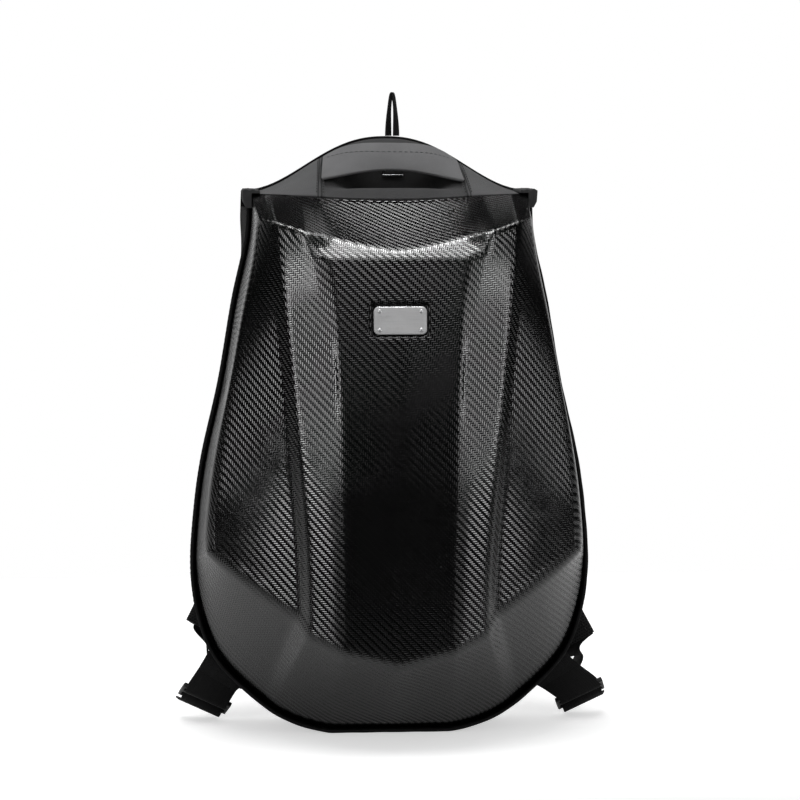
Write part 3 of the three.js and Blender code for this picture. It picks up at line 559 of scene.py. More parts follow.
class Finish(Nodes):
    """Fills one material's node tree."""

    NOISE_SPAN = (0.3, 0.7)  # the values that noise mostly takes
    NOISE_ROUGHNESS = 0.55
    MIX_INPUTS = (0, 6, 7)  # factor and the two colours among a mix node's sockets
    MIX_RESULT = 2
    SHEEN_ROUGHNESS = 0.5

    def __init__(self, name, roughness, metallic=0.0):
        self.material = bpy.data.materials.new(name)
        self.material.use_nodes = True
        super().__init__(self.material.node_tree)
        self.surface = self.tree.nodes["Principled BSDF"]
        self.surface.inputs["Roughness"].default_value = roughness
        self.surface.inputs["Metallic"].default_value = metallic

    def weave(self):
        """Cloth coordinates in millimetres, X across and Y along, with a tone as Z that holds painted light
        and shade.
        """
        return self.split(self.node("ShaderNodeAttribute", attribute_name="weave").outputs["Vector"])

    def toned(self, shade, tone):
        """The shade made lighter or darker by a tone."""
        inputs = {"Vector": shade, "Scale": tone}
        return self.node("ShaderNodeVectorMath", inputs, operation="SCALE").outputs["Vector"]

    def place(self):
        """Position on the piece, in metres."""
        return self.node("ShaderNodeTexCoord").outputs["Object"]

    def noise(self, vector=None, scale=1.0, detail=3.0):
        inputs = {"Vector": vector or self.place(), "Scale": scale, "Detail": detail}
        inputs["Roughness"] = self.NOISE_ROUGHNESS
        return self.node("ShaderNodeTexNoise", inputs).outputs["Fac"]

    def vary(self, noise, low, high):
        """Noise spread between two values."""
        return self.spread(noise, *self.NOISE_SPAN, low, high)

    def layered(self, pattern, patches, share):
        """A pattern for one share of the tone and patches of noise for the rest."""
        return self.math("MULTIPLY_ADD", pattern, share, self.vary(patches, 0.0, 1 - share))

    def blend(self, share, first, second):
        inputs = zip(self.MIX_INPUTS, (share, first, second))
        return self.node("ShaderNodeMix", inputs, data_type="RGBA").outputs[self.MIX_RESULT]

    def shades(self, share, shade, dark, light):
        """Between a darker and a lighter version of a shade."""
        return self.blend(share, colour(shade, dark), colour(shade, light))

    def hump(self, value):
        """One at the middle of each whole step of a value and nought at its ends."""
        off = self.math("SUBTRACT", self.math("FRACT", value), 0.5)
        return self.math("MULTIPLY_ADD", self.math("MULTIPLY", off, off), -4.0, 1.0)

    def bump(self, height, distance, strength, under=None):
        inputs = {"Height": height, "Distance": distance * MM, "Strength": strength}
        if under is not None:
            inputs["Normal"] = under
        return self.node("ShaderNodeBump", inputs).outputs["Normal"]

    def soften(self, specular, sheen=0.0):
        """Sets how weak the shine is, and the sheen of cloth."""
        self.surface.inputs["Specular IOR Level"].default_value = specular
        self.surface.inputs["Sheen Weight"].default_value = sheen
        self.surface.inputs["Sheen Roughness"].default_value = self.SHEEN_ROUGHNESS

    def wear(self, **sockets):
        """Feeds the surface and gives back the finished material."""
        for key, value in sockets.items():
            self.feed(self.surface.inputs[key.replace("_", " ")], value)
        return self.material


def colour(values, share=1.0):
    return (*(value * share for value in values), 1.0)


def shared(make, name, *values, **options):
    """The named material, made the first time that it is asked for."""
    return bpy.data.materials.get(name) or make(name, *values, **options)


LEVEL_TOW_CROWN = 1.5  # how much rounder the level tows are than the upright ones


def twill_finish(settings):
    """Black skin pressed with a two over two twill; each flat tow is rounded only across its run."""
    made = Finish("twill_skin", settings.roughness)
    made.surface.inputs["Specular IOR Level"].default_value = settings.shine
    weave = made.weave()
    u = made.math("DIVIDE", weave["X"], settings.tow_width)
    v = made.math("DIVIDE", weave["Y"], settings.tow_width)
    column = made.math("FLOOR", u)
    row = made.math("FLOOR", v)
    phase = made.math("FLOORED_MODULO", made.math("ADD", column, row), 4.0)
    upright = made.math("LESS_THAN", phase, 2.0)
    level = made.math("SUBTRACT", 1.0, upright)
    level_height = made.math("MULTIPLY", made.hump(v), made.math("MULTIPLY", level, LEVEL_TOW_CROWN))
    height = made.math("MULTIPLY_ADD", made.hump(u), upright, level_height)
    cell = made.node("ShaderNodeCombineXYZ", {"X": column, "Y": row, "Z": upright}).outputs[0]
    random = made.node("ShaderNodeTexWhiteNoise", {"Vector": cell}).outputs["Value"]
    scuffs = made.noise(scale=60.0, detail=4.0)
    rougher = made.spread(scuffs, low=0.35, high=0.75, new_low=-0.03, new_high=0.05)
    return made.wear(
        Base_Color=made.shades(random, settings.skin, dark=0.6, light=1.0),
        Roughness=made.math("ADD", rougher, settings.roughness),
        Normal=made.bump(height, settings.tow_relief, strength=1.0),
    )


def woven_finish(name, shade, pitch, specular=0.15, toned=False, relief=0.25, roughness=0.85, sheen=0.03):
    """Plain woven cloth: threads over and under, with faded patches and fine fuzz."""
    made = Finish(name, roughness)
    made.soften(specular, sheen)
    weave = made.weave()
    u = made.math("DIVIDE", weave["X"], pitch)
    v = made.math("DIVIDE", weave["Y"], pitch)
    over = made.math("FLOORED_MODULO", made.math("ADD", made.math("FLOOR", u), made.math("FLOOR", v)), 2.0)
    upright = made.math("MULTIPLY", made.hump(u), over)
    level = made.math("MULTIPLY", made.hump(v), made.math("SUBTRACT", 1.0, over))
    threads = made.math("ADD", upright, level)
    patches = made.noise(scale=22.0, detail=4.0)
    base = made.shades(made.layered(threads, patches, share=0.45), shade, dark=0.72, light=1.18)
    creases = made.bump(made.noise(scale=35.0), distance=2.0, strength=0.25)
    return made.wear(
        # On the top cloth the tone paints light on the gores and shade in the seams and under the handle
        Base_Color=made.toned(base, weave["Z"]) if toned else base,
        Roughness=made.vary(patches, low=roughness - 0.06, high=roughness + 0.06),
        Normal=made.bump(threads, relief, strength=0.8, under=creases),
    )


def ribbed_finish(name, shade, pitch, relief=0.35, roughness=0.7):
    """Woven tape: close ribs across it, with the chevron that webbing looms leave."""
    made = Finish(name, roughness)
    made.soften(specular=0.12)
    weave = made.weave()
    chevron_width = pitch * 4
    cord_width = pitch * 2
    cord_height = 0.6
    slant = made.math("PINGPONG", made.math("DIVIDE", weave["X"], chevron_width), 1.0)
    ribs = made.hump(made.math("ADD", made.math("DIVIDE", weave["Y"], pitch), slant))
    cords = made.hump(made.math("DIVIDE", weave["X"], cord_width))
    height = made.math("MULTIPLY_ADD", cords, cord_height, ribs)
    patches = made.noise(scale=30.0, detail=4.0)
    return made.wear(
        Base_Color=made.shades(made.layered(ribs, patches, share=0.4), shade, dark=0.6, light=1.4),
        Roughness=made.vary(patches, low=roughness - 0.08, high=roughness + 0.08),
        Normal=made.bump(height, relief, strength=0.8),
    )


def spacer_finish(name, shade, pitch=2.4):
    """Open knitted mesh over foam: rows of small holes, each row half a step on from the last."""
    made = Finish(name, roughness=0.9)
    made.soften(specular=0.1, sheen=0.02)
    weave = made.weave()
    v = made.math("DIVIDE", weave["Y"], pitch)
    shift = made.math("MULTIPLY", made.math("FLOORED_MODULO", made.math("FLOOR", v), 2.0), 0.5)
    u = made.math("ADD", made.math("DIVIDE", weave["X"], pitch), shift)
    hole = made.math("MULTIPLY", made.hump(u), made.hump(v))
    open_part = made.spread(hole, low=0.35, high=0.75, new_low=0.0, new_high=1.0)
    knit = made.math("SUBTRACT", 1.0, open_part)
    patches = made.noise(scale=18.0, detail=4.0)
    tone = made.math("MULTIPLY", knit, made.vary(patches, low=0.6, high=1.0))
    return made.wear(
        Base_Color=made.shades(tone, shade, dark=0.25, light=1.3),
        Roughness=made.vary(patches, low=0.82, high=0.96),
        Normal=made.bump(knit, distance=0.7, strength=0.8),
    )


def moulded_finish(name, shade):
    """Moulded nylon with a fine spark-eroded grain."""
    made = Finish(name, roughness=0.45)
    made.soften(specular=0.3)
    grain = made.noise(scale=2600.0, detail=2.0)
    patches = made.noise(scale=90.0)
    return made.wear(
        Base_Color=made.shades(patches, shade, dark=0.7, light=1.5),
        Roughness=made.vary(patches, low=0.38, high=0.54),
        Normal=made.bump(grain, distance=0.12, strength=0.5),
    )


def brushed_finish(name, shade, roughness, metallic):
    """Metal brushed along its width, with faint cloudy marks."""
    made = Finish(name, roughness, metallic)
    stretch = made.node("ShaderNodeMapping", {"Vector": made.place(), "Scale": (40.0, 2400.0, 2400.0)})
    hairlines = made.noise(stretch.outputs["Vector"])
    marks = made.noise(scale=120.0)
    return made.wear(
        Base_Color=made.shades(hairlines, shade, dark=0.8, light=1.12),
        Roughness=made.vary(marks, low=roughness - 0.06, high=roughness + 0.08),
        Normal=made.bump(hairlines, distance=0.06, strength=0.35),
    )


def thread_finish(name, shade):
    """Twisted sewing thread."""
    made = Finish(name, roughness=0.6)
    made.soften(specular=0.2)
    twist = made.noise(scale=2200.0, detail=1.0)
    return made.wear(
        Base_Color=made.shades(twist, shade, dark=0.6, light=1.3),
        Roughness=made.vary(twist, low=0.5, high=0.7),
    )


# Shell surface

def line_x(name, height):
    if name == "centre":
        return np.zeros_like(height)
    if name == "foot":
        run = mix(STEP_RUN, STEP_RUN_TOP, ease(*RUN_HEIGHTS, height))
        return column_at(HALF_WIDTHS, "panel", height) + run
    return column_at(HALF_WIDTHS, name, height)


def line_depth(name, height):
    centre = column_at(DEPTHS, "centre", height)
    if name == "panel":
        return centre - PANEL_CROWN
    if name == "foot":
        return centre - PANEL_CROWN - PANEL_STEP * ease(*STEP_HEIGHTS, height)
    return column_at(DEPTHS, name, height)


def half_columns():
    """Columns from the middle outward: a feature line, the next one, and the share of the way between."""
    columns = []
    for index, line in enumerate(LINES):
        count = max(int(line["columns"]), 1)
        following = min(index + 1, len(LINES) - 1)
        columns.extend((index, following, step / count) for step in range(count))
    return columns


def shell_front():
    """Points of the shell's front, the rim share of each column and the softness of each point."""
    rise = np.linspace(0, 1, FRONT_ROWS + 1)
    points = []
    rim_shares = []
    softness = []
    for index, following, share in half_columns():
        line = LINES[index]
        other = LINES[following]
        name = LINE_NAMES[index]
        other_name = LINE_NAMES[following]
        chin = mix(line["chin"], other["chin"], share)
        crown = mix(line["crown"], other["crown"], share ** line["crown_ease"])
        height = mix(chin, crown, rise)
        x = mix(line_x(name, height), line_x(other_name, height), share)
        depth = mix(line_depth(name, height), line_depth(other_name, height), share)
        if name == "valley":
            depth = depth + WING_SWELL * 4 * share * (1 - share)
        bevel = 1 - ease(*CROWN_SIDES, x)
        depth = depth - BEVEL_LEAN * bevel * np.maximum(height - BEVEL_FROM, 0)
        points.append(np.stack([x, -depth, height], axis=1))
        rim_shares.append(mix(line["rim_share"], other["rim_share"], share))
        ends = mix(line["soft"], other["soft"], share)
        soft = mix(ends, line["soft_between"], np.sin(np.pi * share))
        if name in ("panel", "foot"):
            soft = mix(max(soft, PANEL_FOOT_SOFT), soft, ease(*STEP_HEIGHTS, height))
        soft = mix(soft, np.maximum(soft, CHIN_SOFT), ease(CHIN_REACH, 0, height - chin))
        softness.append(mix(soft, BEVEL_SOFT, bevel * ease(BEVEL_FROM - BEVEL_NEAR, BEVEL_FROM, height)))
    points = np.stack(points, axis=1)
    mirrored = points[:, :0:-1] * (-1, 1, 1)
    rim_shares = np.array(rim_shares)
    softness = np.stack(softness, axis=1)
    return (
        np.concatenate([mirrored, points], axis=1),
        np.concatenate([-rim_shares[:0:-1], rim_shares]),
        np.concatenate([softness[:, :0:-1], softness], axis=1),
    )


def shell_rim(front, rim_shares):
    """For each point on the front's edge: its place on the rim, its rounding, fall, scoop and softness."""
    rows, columns = front.shape[:2]
    side_shares = mix(LINES[-1]["rim_share"], 1, np.arange(1, rows - 1) / (rows - 1))
    top_x = front[-1, ::-1, 0]
    top_share = top_x / front[-1, -1, 0]
    aside = ease(*CROWN_SIDES, np.abs(top_x))

    def along_edge(chin, side, crown):
        sides = np.full(rows - 2, float(side))
        return np.concatenate([np.full(columns, float(chin)), sides, crown, sides])

    return {
        "rim": np.vstack([
            inset_point(rim_shares, RIM_INSET), inset_point(side_shares, RIM_INSET),
            top_edge_point(top_share), inset_point(-side_shares[::-1], RIM_INSET),
        ]),
        "round": along_edge(CHIN_ROUND, SHOULDER_ROUND, mix(CROWN_ROUND_MIDDLE, CROWN_ROUND_SIDE, aside)),
        "fall": along_edge(FRONT_FALL, FRONT_FALL, FRONT_FALL + BEVEL_LEAN * (1 - aside)),
        "scoop": along_edge(0, 0, SCOOP * (1 - top_share ** 2) ** 2),
        "soft": along_edge(CHIN_SOFT, SHOULDER_SOFT, mix(CROWN_SOFT_MIDDLE, CROWN_SOFT_SIDE, aside)),
    }


def skirt_rings(edge, run):
    """Rings of points from the front's edge over its rounding and down to the rim."""
    rim = run["rim"]
    outward = (rim - edge) * (1, 0, 1)
    reach = np.linalg.norm(outward, axis=1, keepdims=True)
    outward = outward / reach
    bend = np.minimum(run["round"][:, None], reach * LONGEST_ROUND)
    corner = edge + outward * bend + BACKWARD * bend * run["fall"][:, None]
    wall = rim - corner
    foot = corner + wall * np.minimum(bend / np.linalg.norm(wall, axis=1, keepdims=True), LONGEST_ROUND)
    rings = []
    for t in np.linspace(0, 1, BEND_RINGS + 1)[1:]:
        rings.append((1 - t) ** 2 * edge + 2 * t * (1 - t) * corner + t * t * foot)
    for t in np.linspace(0, 1, WALL_RINGS + 1)[1:]:
        sag = np.outer(run["scoop"] * 4 * t * (1 - t), UP)
        rings.append(mix(foot, rim, t) - sag)
    return np.stack(rings), outward


def round_off(points, edges, softness):
    """Lets every point drift towards its neighbours, further where the surface is softer."""
    start, end = edges.T
    count = len(points)
    weight = 1 / np.maximum(np.linalg.norm(points[end] - points[start], axis=1), LEAST_EDGE)
    total = np.bincount(start, weight, count) + np.bincount(end, weight, count)
    uses = np.bincount(start, minlength=count) + np.bincount(end, minlength=count)
    spacing = uses / total
    share = np.clip(2 * (softness / spacing) ** 2 / ROUNDING_TURNS, 0, MOST_DRIFT)[:, None]
    for _ in range(ROUNDING_TURNS):
        pull = weight[:, None] * (points[end] - points[start])
        moved = [np.bincount(start, part, count) - np.bincount(end, part, count) for part in pull.T]
        points = points + share * np.stack(moved, axis=1) / total[:, None]
    return points


def plate_axes():
    """Middle of the plate's seat, and its directions up and out of the shell."""
    reach = PLATE_HEIGHT / 2
    heights = np.array([PLATE_AT - reach, PLATE_AT + reach])
    depths = line_depth("centre", heights)
    low, high = np.stack([np.zeros(2), -depths, heights], axis=1)
    up = unit(high - low)
    return (low + high) / 2, up, np.cross(RIGHT, up)


def press_recess(points):
    """Sinks a shallow seat round the plate into the shell."""
    middle, up, out = plate_axes()
    offset = points - middle
    x = np.abs(offset @ RIGHT) - (PLATE_WIDTH / 2 + RECESS_MARGIN - PLATE_CORNER)
    z = np.abs(offset @ up) - (PLATE_HEIGHT / 2 + RECESS_MARGIN - PLATE_CORNER)
    outside = np.hypot(np.maximum(x, 0), np.maximum(z, 0)) + np.minimum(np.maximum(x, z), 0) - PLATE_CORNER
    near = np.abs(offset @ out) < RECESS_REACH
    depth = RECESS_DEPTH * (1 - ease(-RECESS_RUN, 0, outside)) * near
    return points - depth[:, None] * out


def front_weave(front):
    """Twill coordinates of the front: along level lines from its middle, and up from one height."""
    columns = front.shape[1]
    steps = np.linalg.norm(np.diff(front[:, :, :2], axis=1), axis=-1)
    across = np.concatenate([np.zeros_like(steps[:, :1]), np.cumsum(steps, axis=1)], axis=1)
    across = across - across[:, columns // 2, None]
    along = lengths_along(front)
    level = [np.interp(TWILL_LEVEL, front[:, column, 2], along[:, column]) for column in range(columns)]
    return np.stack([across, along - np.array(level)], axis=-1).reshape(-1, 2)


def shell_mesh():
    """Points, faces and twill coordinates of the whole shell."""
    front, rim_shares, front_soft = shell_front()
    rows, columns = front.shape[:2]
    edge = border(rows, columns)
    flat = front.reshape(-1, 3)
    rim = shell_rim(front, rim_shares)
    rings, outward = skirt_rings(flat[edge], rim)
    lip = rings[-1] - outward * SHELL_WALL
    rings = np.concatenate([rings, [lip, lip - BACKWARD * LIP_DEPTH]])
    depth, around = rings.shape[:2]

    index = len(flat) + np.arange(depth * around).reshape(depth, around)
    index = np.vstack([edge, index])
    following = np.roll(index, -1, axis=1)
    skirt = np.stack([index[:-1], index[1:], following[1:], following[:-1]], axis=-1).reshape(-1, 4)
    faces = np.vstack([grid_faces(rows, columns), skirt])

    grid = np.arange(rows * columns).reshape(rows, columns)
    pairs = (
        (grid[:, :-1], grid[:, 1:]), (grid[:-1], grid[1:]),
        (index[1:], following[1:]), (index[:-1], index[1:]),
    )
    edges = np.vstack([np.stack([start.ravel(), end.ravel()], axis=1) for start, end in pairs])
    soft = front_soft.ravel().copy()
    soft[edge] = np.maximum(soft[edge], rim["soft"])
    fade = np.concatenate([np.ones(BEND_RINGS), np.linspace(1, 0, WALL_RINGS), [0, 0]])
    soft = np.concatenate([soft, np.outer(fade, rim["soft"]).ravel()])
    points = round_off(np.vstack([flat, rings.reshape(-1, 3)]), edges, soft)

    weave = front_weave(front)
    path = np.concatenate([flat[edge][None], rings])
    away = lengths_along(path)[1:]
    skirt_weave = weave[edge][None] + away[:, :, None] * outward[None][:, :, (0, 2)]
    return press_recess(points), faces, np.vstack([weave, skirt_weave.reshape(-1, 2)])


# Top panel and handle

def top_slope(x):
    """Ends of the straight slope from the shell's top edge up to the back panel's arch."""
    front = top_edge_point(x / SHELL_CORNER[0]) + BACKWARD * GAP
    back = np.stack([x, np.full_like(x, TOP_BACK), arch_height(x) - CLOTH_WALL], axis=-1)
    return front, back


def wave_at(wave, share):
    phase = np.clip((share - wave["start"]) / (wave["end"] - wave["start"]), 0, 1)
    return wave["height"] * np.sin(np.pi * phase) ** 2


def held_at_ends(share):
    """Nought where the cloth is sewn down at either end, and soon one between."""
    return np.sin(np.pi * np.clip(share, 0, 1)).clip(0) ** 0.5


def top_panel_point(x, share):
    front, back = top_slope(x)
    aside = np.abs(x - SEAM_MIDDLE)
    middle = 1 - ease(*SWELL_SIDES, aside)
    swell = (wave_at(CREST, share) + wave_at(HOLLOW, share)) * middle
    gore = ease(SEAM_HALF - GORE_RISE, SEAM_HALF + GORE_RISE, aside)
    gore = gore * (1 - ease(SEAM_HALF + GORE_FALL, TOP_HALF - SEAM_MIDDLE, aside))
    swell = swell + GORE_SWELL * gore * held_at_ends(share)
    return mix(front, back, share[..., None]) + swell[..., None] * UP


def handle_stations(count):
    """Centres, width directions and half widths of the haul handle from left to right."""
    turn = np.linspace(-1, 1, count)
    x = HANDLE_MIDDLE + HANDLE_HALF * turn
    arch = np.cos(np.pi / 2 * turn).clip(0) ** HANDLE_EASE
    front, back = top_slope(x)
    rise = back - front
    tilt = np.arctan2(rise[:, 2], rise[:, 1])
    y = mix(HANDLE_END_Y, HANDLE_MID_Y, arch)
    seat = mix(front[:, 2], back[:, 2], (y - front[:, 1]) / rise[:, 1])
    lying = (HANDLE_CLEAR + HANDLE_THICKNESS / 2) / np.cos(tilt)
    turned = mix(tilt, math.radians(HANDLE_MID_TILT), arch)
    at = np.stack([x, y, seat + mix(lying, HANDLE_MID_RISE, arch)], axis=1)
    side = np.stack([np.zeros_like(x), np.cos(turned), np.sin(turned)], axis=1)
    return at, side, mix(HANDLE_END_HALF, HANDLE_MID_HALF, arch)


# Straps, webbing and locks, for a side of 1 on the right or -1 on the left

def drawn_in(side, height):
    """How far a strap or lock comes in from its place in the table."""
    return LEFT_DRAWN_IN * (1 - ease(*DRAWN_HEIGHTS, height)) if side < 0 else 0 * height


def strap_stations(side, steps):
    back = GUSSET_BACK + GAP + BACK_THICKNESS
    height = STRAP_STATIONS["z"]
    aside = STRAP_STATIONS["x"] - drawn_in(side, height)
    stations = np.stack([side * aside, back + STRAP_STATIONS["stand"], height], axis=1)
    at = curve_through(stations, steps)
    place = np.linspace(0, len(stations) - 1, steps + 1)
    half_width = np.interp(place, np.arange(len(stations)), STRAP_STATIONS["half_width"])
    if side < 0:
        kept = place / place[-1] * (place[-1] - LEFT_SHORT)
        at = sampled(kept, place, at)
        half_width = np.interp(kept, place, half_width) + LEFT_WIDER * ease(*WIDER_HEIGHTS, at[:, 2])
    across = unit(np.cross(np.gradient(at, axis=0), BACKWARD))
    return at, across, half_width


def lock_axes(side):
    flip = np.array((side, 1, 1))
    long = LOCK_LONG * flip
    pull = LOCK_PULL * flip
    pull = unit(pull - long * (pull @ long))
    face = unit(np.cross(LOCK_LONG, LOCK_PULL) * flip)
    at = (LOCK_AT - (drawn_in(side, LOCK_AT[2]), 0, 0)) * flip
    return {"at": at, "long": long, "pull": pull, "face": face}


def lock_point(lock, along_pull, out_of_face):
    return lock["at"] + lock["pull"] * along_pull + lock["face"] * out_of_face


def wrap_points(lock, bar, angles):
    turns = [math.radians(angle) for angle in angles]
    return [lock_point(lock, bar + WRAP_RADIUS * math.cos(t), WRAP_RADIUS * math.sin(t)) for t in turns]


def anchor_stations(side, steps):
    """The webbing from the gusset round the lock's inner bar and back."""
    lock = lock_axes(side)
    share = np.array(side * ANCHOR_SHARE)
    normal = outline_normal(share)
    tangent = side * np.array((-normal[2], 0, normal[0]))
    seat = outline_point(share) + BACKWARD * ANCHOR_Y

    def from_seat(out, back):
        return seat + normal * out + BACKWARD * back

    route = [
        from_seat(ANCHOR_CLEAR, -ANCHOR_LAYERS),
        from_seat(ANCHOR_CLEAR + ANCHOR_STRAIGHT, -ANCHOR_LAYERS),
        *wrap_points(lock, -LOCK_PITCH, ANCHOR_BEND),
        from_seat(ANCHOR_CLEAR + ANCHOR_STRAIGHT, ANCHOR_LAYERS),
        from_seat(ANCHOR_CLEAR, ANCHOR_LAYERS),
    ]
    from_lock = np.abs(np.linspace(-1, 1, steps + 1))
    across = unit(mix(lock["long"], tangent, ease(*ANCHOR_TURN_SHARES, from_lock)[:, None]))
    half_width = WEBBING_HALF + ANCHOR_SPREAD * ease(*SPREAD_SHARES, from_lock)
    return curve_through(route, steps), across, half_width


def strap_webbing_stations(side, steps):
    """The webbing from the strap's end, edge-on for a while, through the lock to its tail."""
    lock = lock_axes(side)
    at, across, _ = strap_stations(side, STRAP_END_STEPS)
    along = unit(at[-1] - at[-2])
    start = at[-1] - along * STRAP_END_TUCK
    tail_turn = lock_point(lock, LOCK_PITCH + WRAP_RADIUS, -WRAP_RADIUS)
    route = [
        start,
        start + along * STRAP_END_STRAIGHT,
        lock_point(lock, LOCK_PITCH - WRAP_RADIUS, TAIL_DROP),
        *wrap_points(lock, LOCK_PITCH, TAIL_BEND),
        tail_turn,
        tail_turn + lock["pull"] * TAIL_LENGTH + UP * TAIL_LIFT,
    ]
    share = np.linspace(0, 1, steps + 1)[:, None]
    flat = mix(across[-1], lock["long"], ease(*TURN_SHARES, share))
    edgewise = ease(*EDGE_ON_SHARES, share) * (1 - ease(*EDGE_OFF_SHARES, share))
    width = unit(mix(unit(flat), BACKWARD, edgewise))
    return curve_through(route, steps), width, np.full(steps + 1, WEBBING_HALF)


# What a user may change

class ShellSettings(bpy.types.PropertyGroup):
    """Finish of the moulded shell."""

    tow_width: bpy.props.FloatProperty(
        name="Tow Width", description="Width of one tow of the twill in millimetres",
        default=1.65, min=0.5, max=5)
    tow_relief: bpy.props.FloatProperty(
        name="Tow Relief", description="Height of the pressed tows in millimetres", default=0.1, min=0, max=1)
    skin: bpy.props.FloatVectorProperty(
        name="Skin", description="Colour of the shell's skin", subtype="COLOR",
        default=(0.0018, 0.0018, 0.0019), min=0, max=1)
    roughness: bpy.props.FloatProperty(
        name="Roughness", description="Roughness of the tows", subtype="FACTOR", default=0.15, min=0, max=1)
    shine: bpy.props.FloatProperty(
        name="Shine", description="Strength of the skin's reflections", subtype="FACTOR",
        default=0.56, min=0, max=1)


class ClothSettings(bpy.types.PropertyGroup):
    """Colours and weaves of the sewn pieces."""

    top: bpy.props.FloatVectorProperty(
        name="Top Cloth", description="Colour of the top panel", subtype="COLOR",
        default=(0.05, 0.05, 0.051), min=0, max=1)
    handle: bpy.props.FloatVectorProperty(
        name="Handle Cloth", description="Colour of the haul handle", subtype="COLOR",
        default=(0.165, 0.165, 0.168), min=0, max=1)
    side: bpy.props.FloatVectorProperty(
        name="Side Cloth", description="Colour of the side gusset, from which the corner tabs are faded",
        subtype="COLOR", default=(0.016, 0.016, 0.0164), min=0, max=1)
    padding: bpy.props.FloatVectorProperty(
        name="Padding", description="Colour of the mesh on the back panel and straps", subtype="COLOR",
        default=(0.009, 0.009, 0.0093), min=0, max=1)
    webbing: bpy.props.FloatVectorProperty(
        name="Webbing", description="Colour of tape, webbing and plastic", subtype="COLOR",
        default=(0.0032, 0.0032, 0.0034), min=0, max=1)
    thread: bpy.props.FloatVectorProperty(
        name="Thread", description="Colour of the sewing thread", subtype="COLOR",
        default=(0.012, 0.012, 0.012), min=0, max=1)
    pitch: bpy.props.FloatProperty(
        name="Weave Pitch", description="Distance between the cloth's threads in millimetres",
        default=0.7, min=0.2, max=4)


class StageSettings(bpy.types.PropertyGroup):
    """Camera and light."""

    azimuth: bpy.props.FloatProperty(
        name="Azimuth", description="Turn of the camera about the bag", subtype="ANGLE",
        default=math.radians(-4.2))
    elevation: bpy.props.FloatProperty(
        name="Elevation", description="Height of the camera above the horizon", subtype="ANGLE",
        default=math.radians(5))
    distance: bpy.props.FloatProperty(
        name="Distance", description="Distance of the camera from the rim plane", unit="LENGTH",
        default=2.5, min=0.5, max=20)
    lens: bpy.props.FloatProperty(
        name="Lens", description="Focal length in millimetres", default=135.7, min=10, max=400)
    shine: bpy.props.FloatProperty(
        name="Shine", description="Strength of the soft boxes that show in the shell",
        default=1, min=0, max=10)
    fill: bpy.props.FloatProperty(
        name="Fill", description="Power of the light on the cloth and floor", unit="POWER", default=16, min=0)


# Makers

class BAG_OT_shell(bpy.types.Operator):
    """Make the moulded shell with its twill skin."""

    bl_idname = "bag.shell"
    bl_label = "Shell"

    def execute(self, context):
        points, faces, weave = shell_mesh()
        material = twill_finish(context.scene.bag_shell)
        add_piece("moulded_shell", points, faces, material, SHELL_NODES, "carbon_shell", weave)
        return {"FINISHED"}


class BAG_OT_plate(bpy.types.Operator):
    """Make the bare plate and its rivets."""

    bl_idname = "bag.plate"
    bl_label = "Plate"

    BEVEL = 0.6
    CORNERS = 48
    PLATE_SHADE = (0.47, 0.47, 0.475)
    RIVET_SHADE = (0.55, 0.55, 0.56)
    RIVET_RADIUS = 1.7
    RIVET_RISE = 0.9
    RIVET_INSET_X = 4.5
    RIVET_INSET_Z = 3.6
    RIVET_SIDES = 20
    RIVET_RINGS = 5

    def execute(self, context):
        middle, up, out = plate_axes()
        metal = brushed_finish("brushed_plate", self.PLATE_SHADE, roughness=0.5, metallic=0.4)
        outline = self.rounded_outline(0)
        levels = (
            (outline, 0),
            (outline, PLATE_THICKNESS - self.BEVEL),
            (self.rounded_outline(self.BEVEL), PLATE_THICKNESS),
        )
        rings = np.stack([
            middle + shape[:, :1] * RIGHT + shape[:, 1:] * up + out * (GAP + height)
            for shape, height in levels
        ])
        add_loft("bare_plate", rings, metal, None, nodes=("name_plate",), slot="plate_metal", sharp=30)
        self.add_rivets(middle, up, out)
        return {"FINISHED"}

    def rounded_outline(self, inset):
        corner = PLATE_CORNER - inset
        turn = np.linspace(0, 2 * np.pi, self.CORNERS, endpoint=False)
        sides = []
        for size, way in ((PLATE_WIDTH, np.cos(turn)), (PLATE_HEIGHT, np.sin(turn))):
            sides.append(np.sign(way) * ((size - 2 * inset) / 2 - corner) + corner * way)
        return np.stack(sides, axis=1)

    def add_rivets(self, middle, up, out):
        metal = brushed_finish("rivet_metal", self.RIVET_SHADE, roughness=0.35, metallic=0.6)
        turn = np.linspace(0, 2 * np.pi, self.RIVET_SIDES, endpoint=False)
        circle = np.cos(turn)[:, None] * RIGHT + np.sin(turn)[:, None] * up
        x = PLATE_WIDTH / 2 - self.RIVET_INSET_X
        z = PLATE_HEIGHT / 2 - self.RIVET_INSET_Z
        points = []
        faces = []
        for across, rise in ((-x, z), (x, z), (-x, -z), (x, -z)):
            base = middle + RIGHT * across + up * rise + out * (GAP + PLATE_THICKNESS)
            first = len(points) * self.RIVET_SIDES
            for dome in np.linspace(0, np.pi / 2, self.RIVET_RINGS + 1)[:-1]:
                ring = circle * self.RIVET_RADIUS * math.cos(dome)
                points.append(base + ring + out * self.RIVET_RISE * math.sin(dome))
            faces.extend(grid_faces(self.RIVET_RINGS, self.RIVET_SIDES, wrap=True, start=first).tolist())
            last = first + (self.RIVET_RINGS - 1) * self.RIVET_SIDES
            faces.append(list(range(last, last + self.RIVET_SIDES)))
        nodes = [f"plate_rivet_{number}" for number in range(1, 5)]
        add_piece("plate_rivets", np.vstack(points), faces, metal, nodes, "plate_metal")


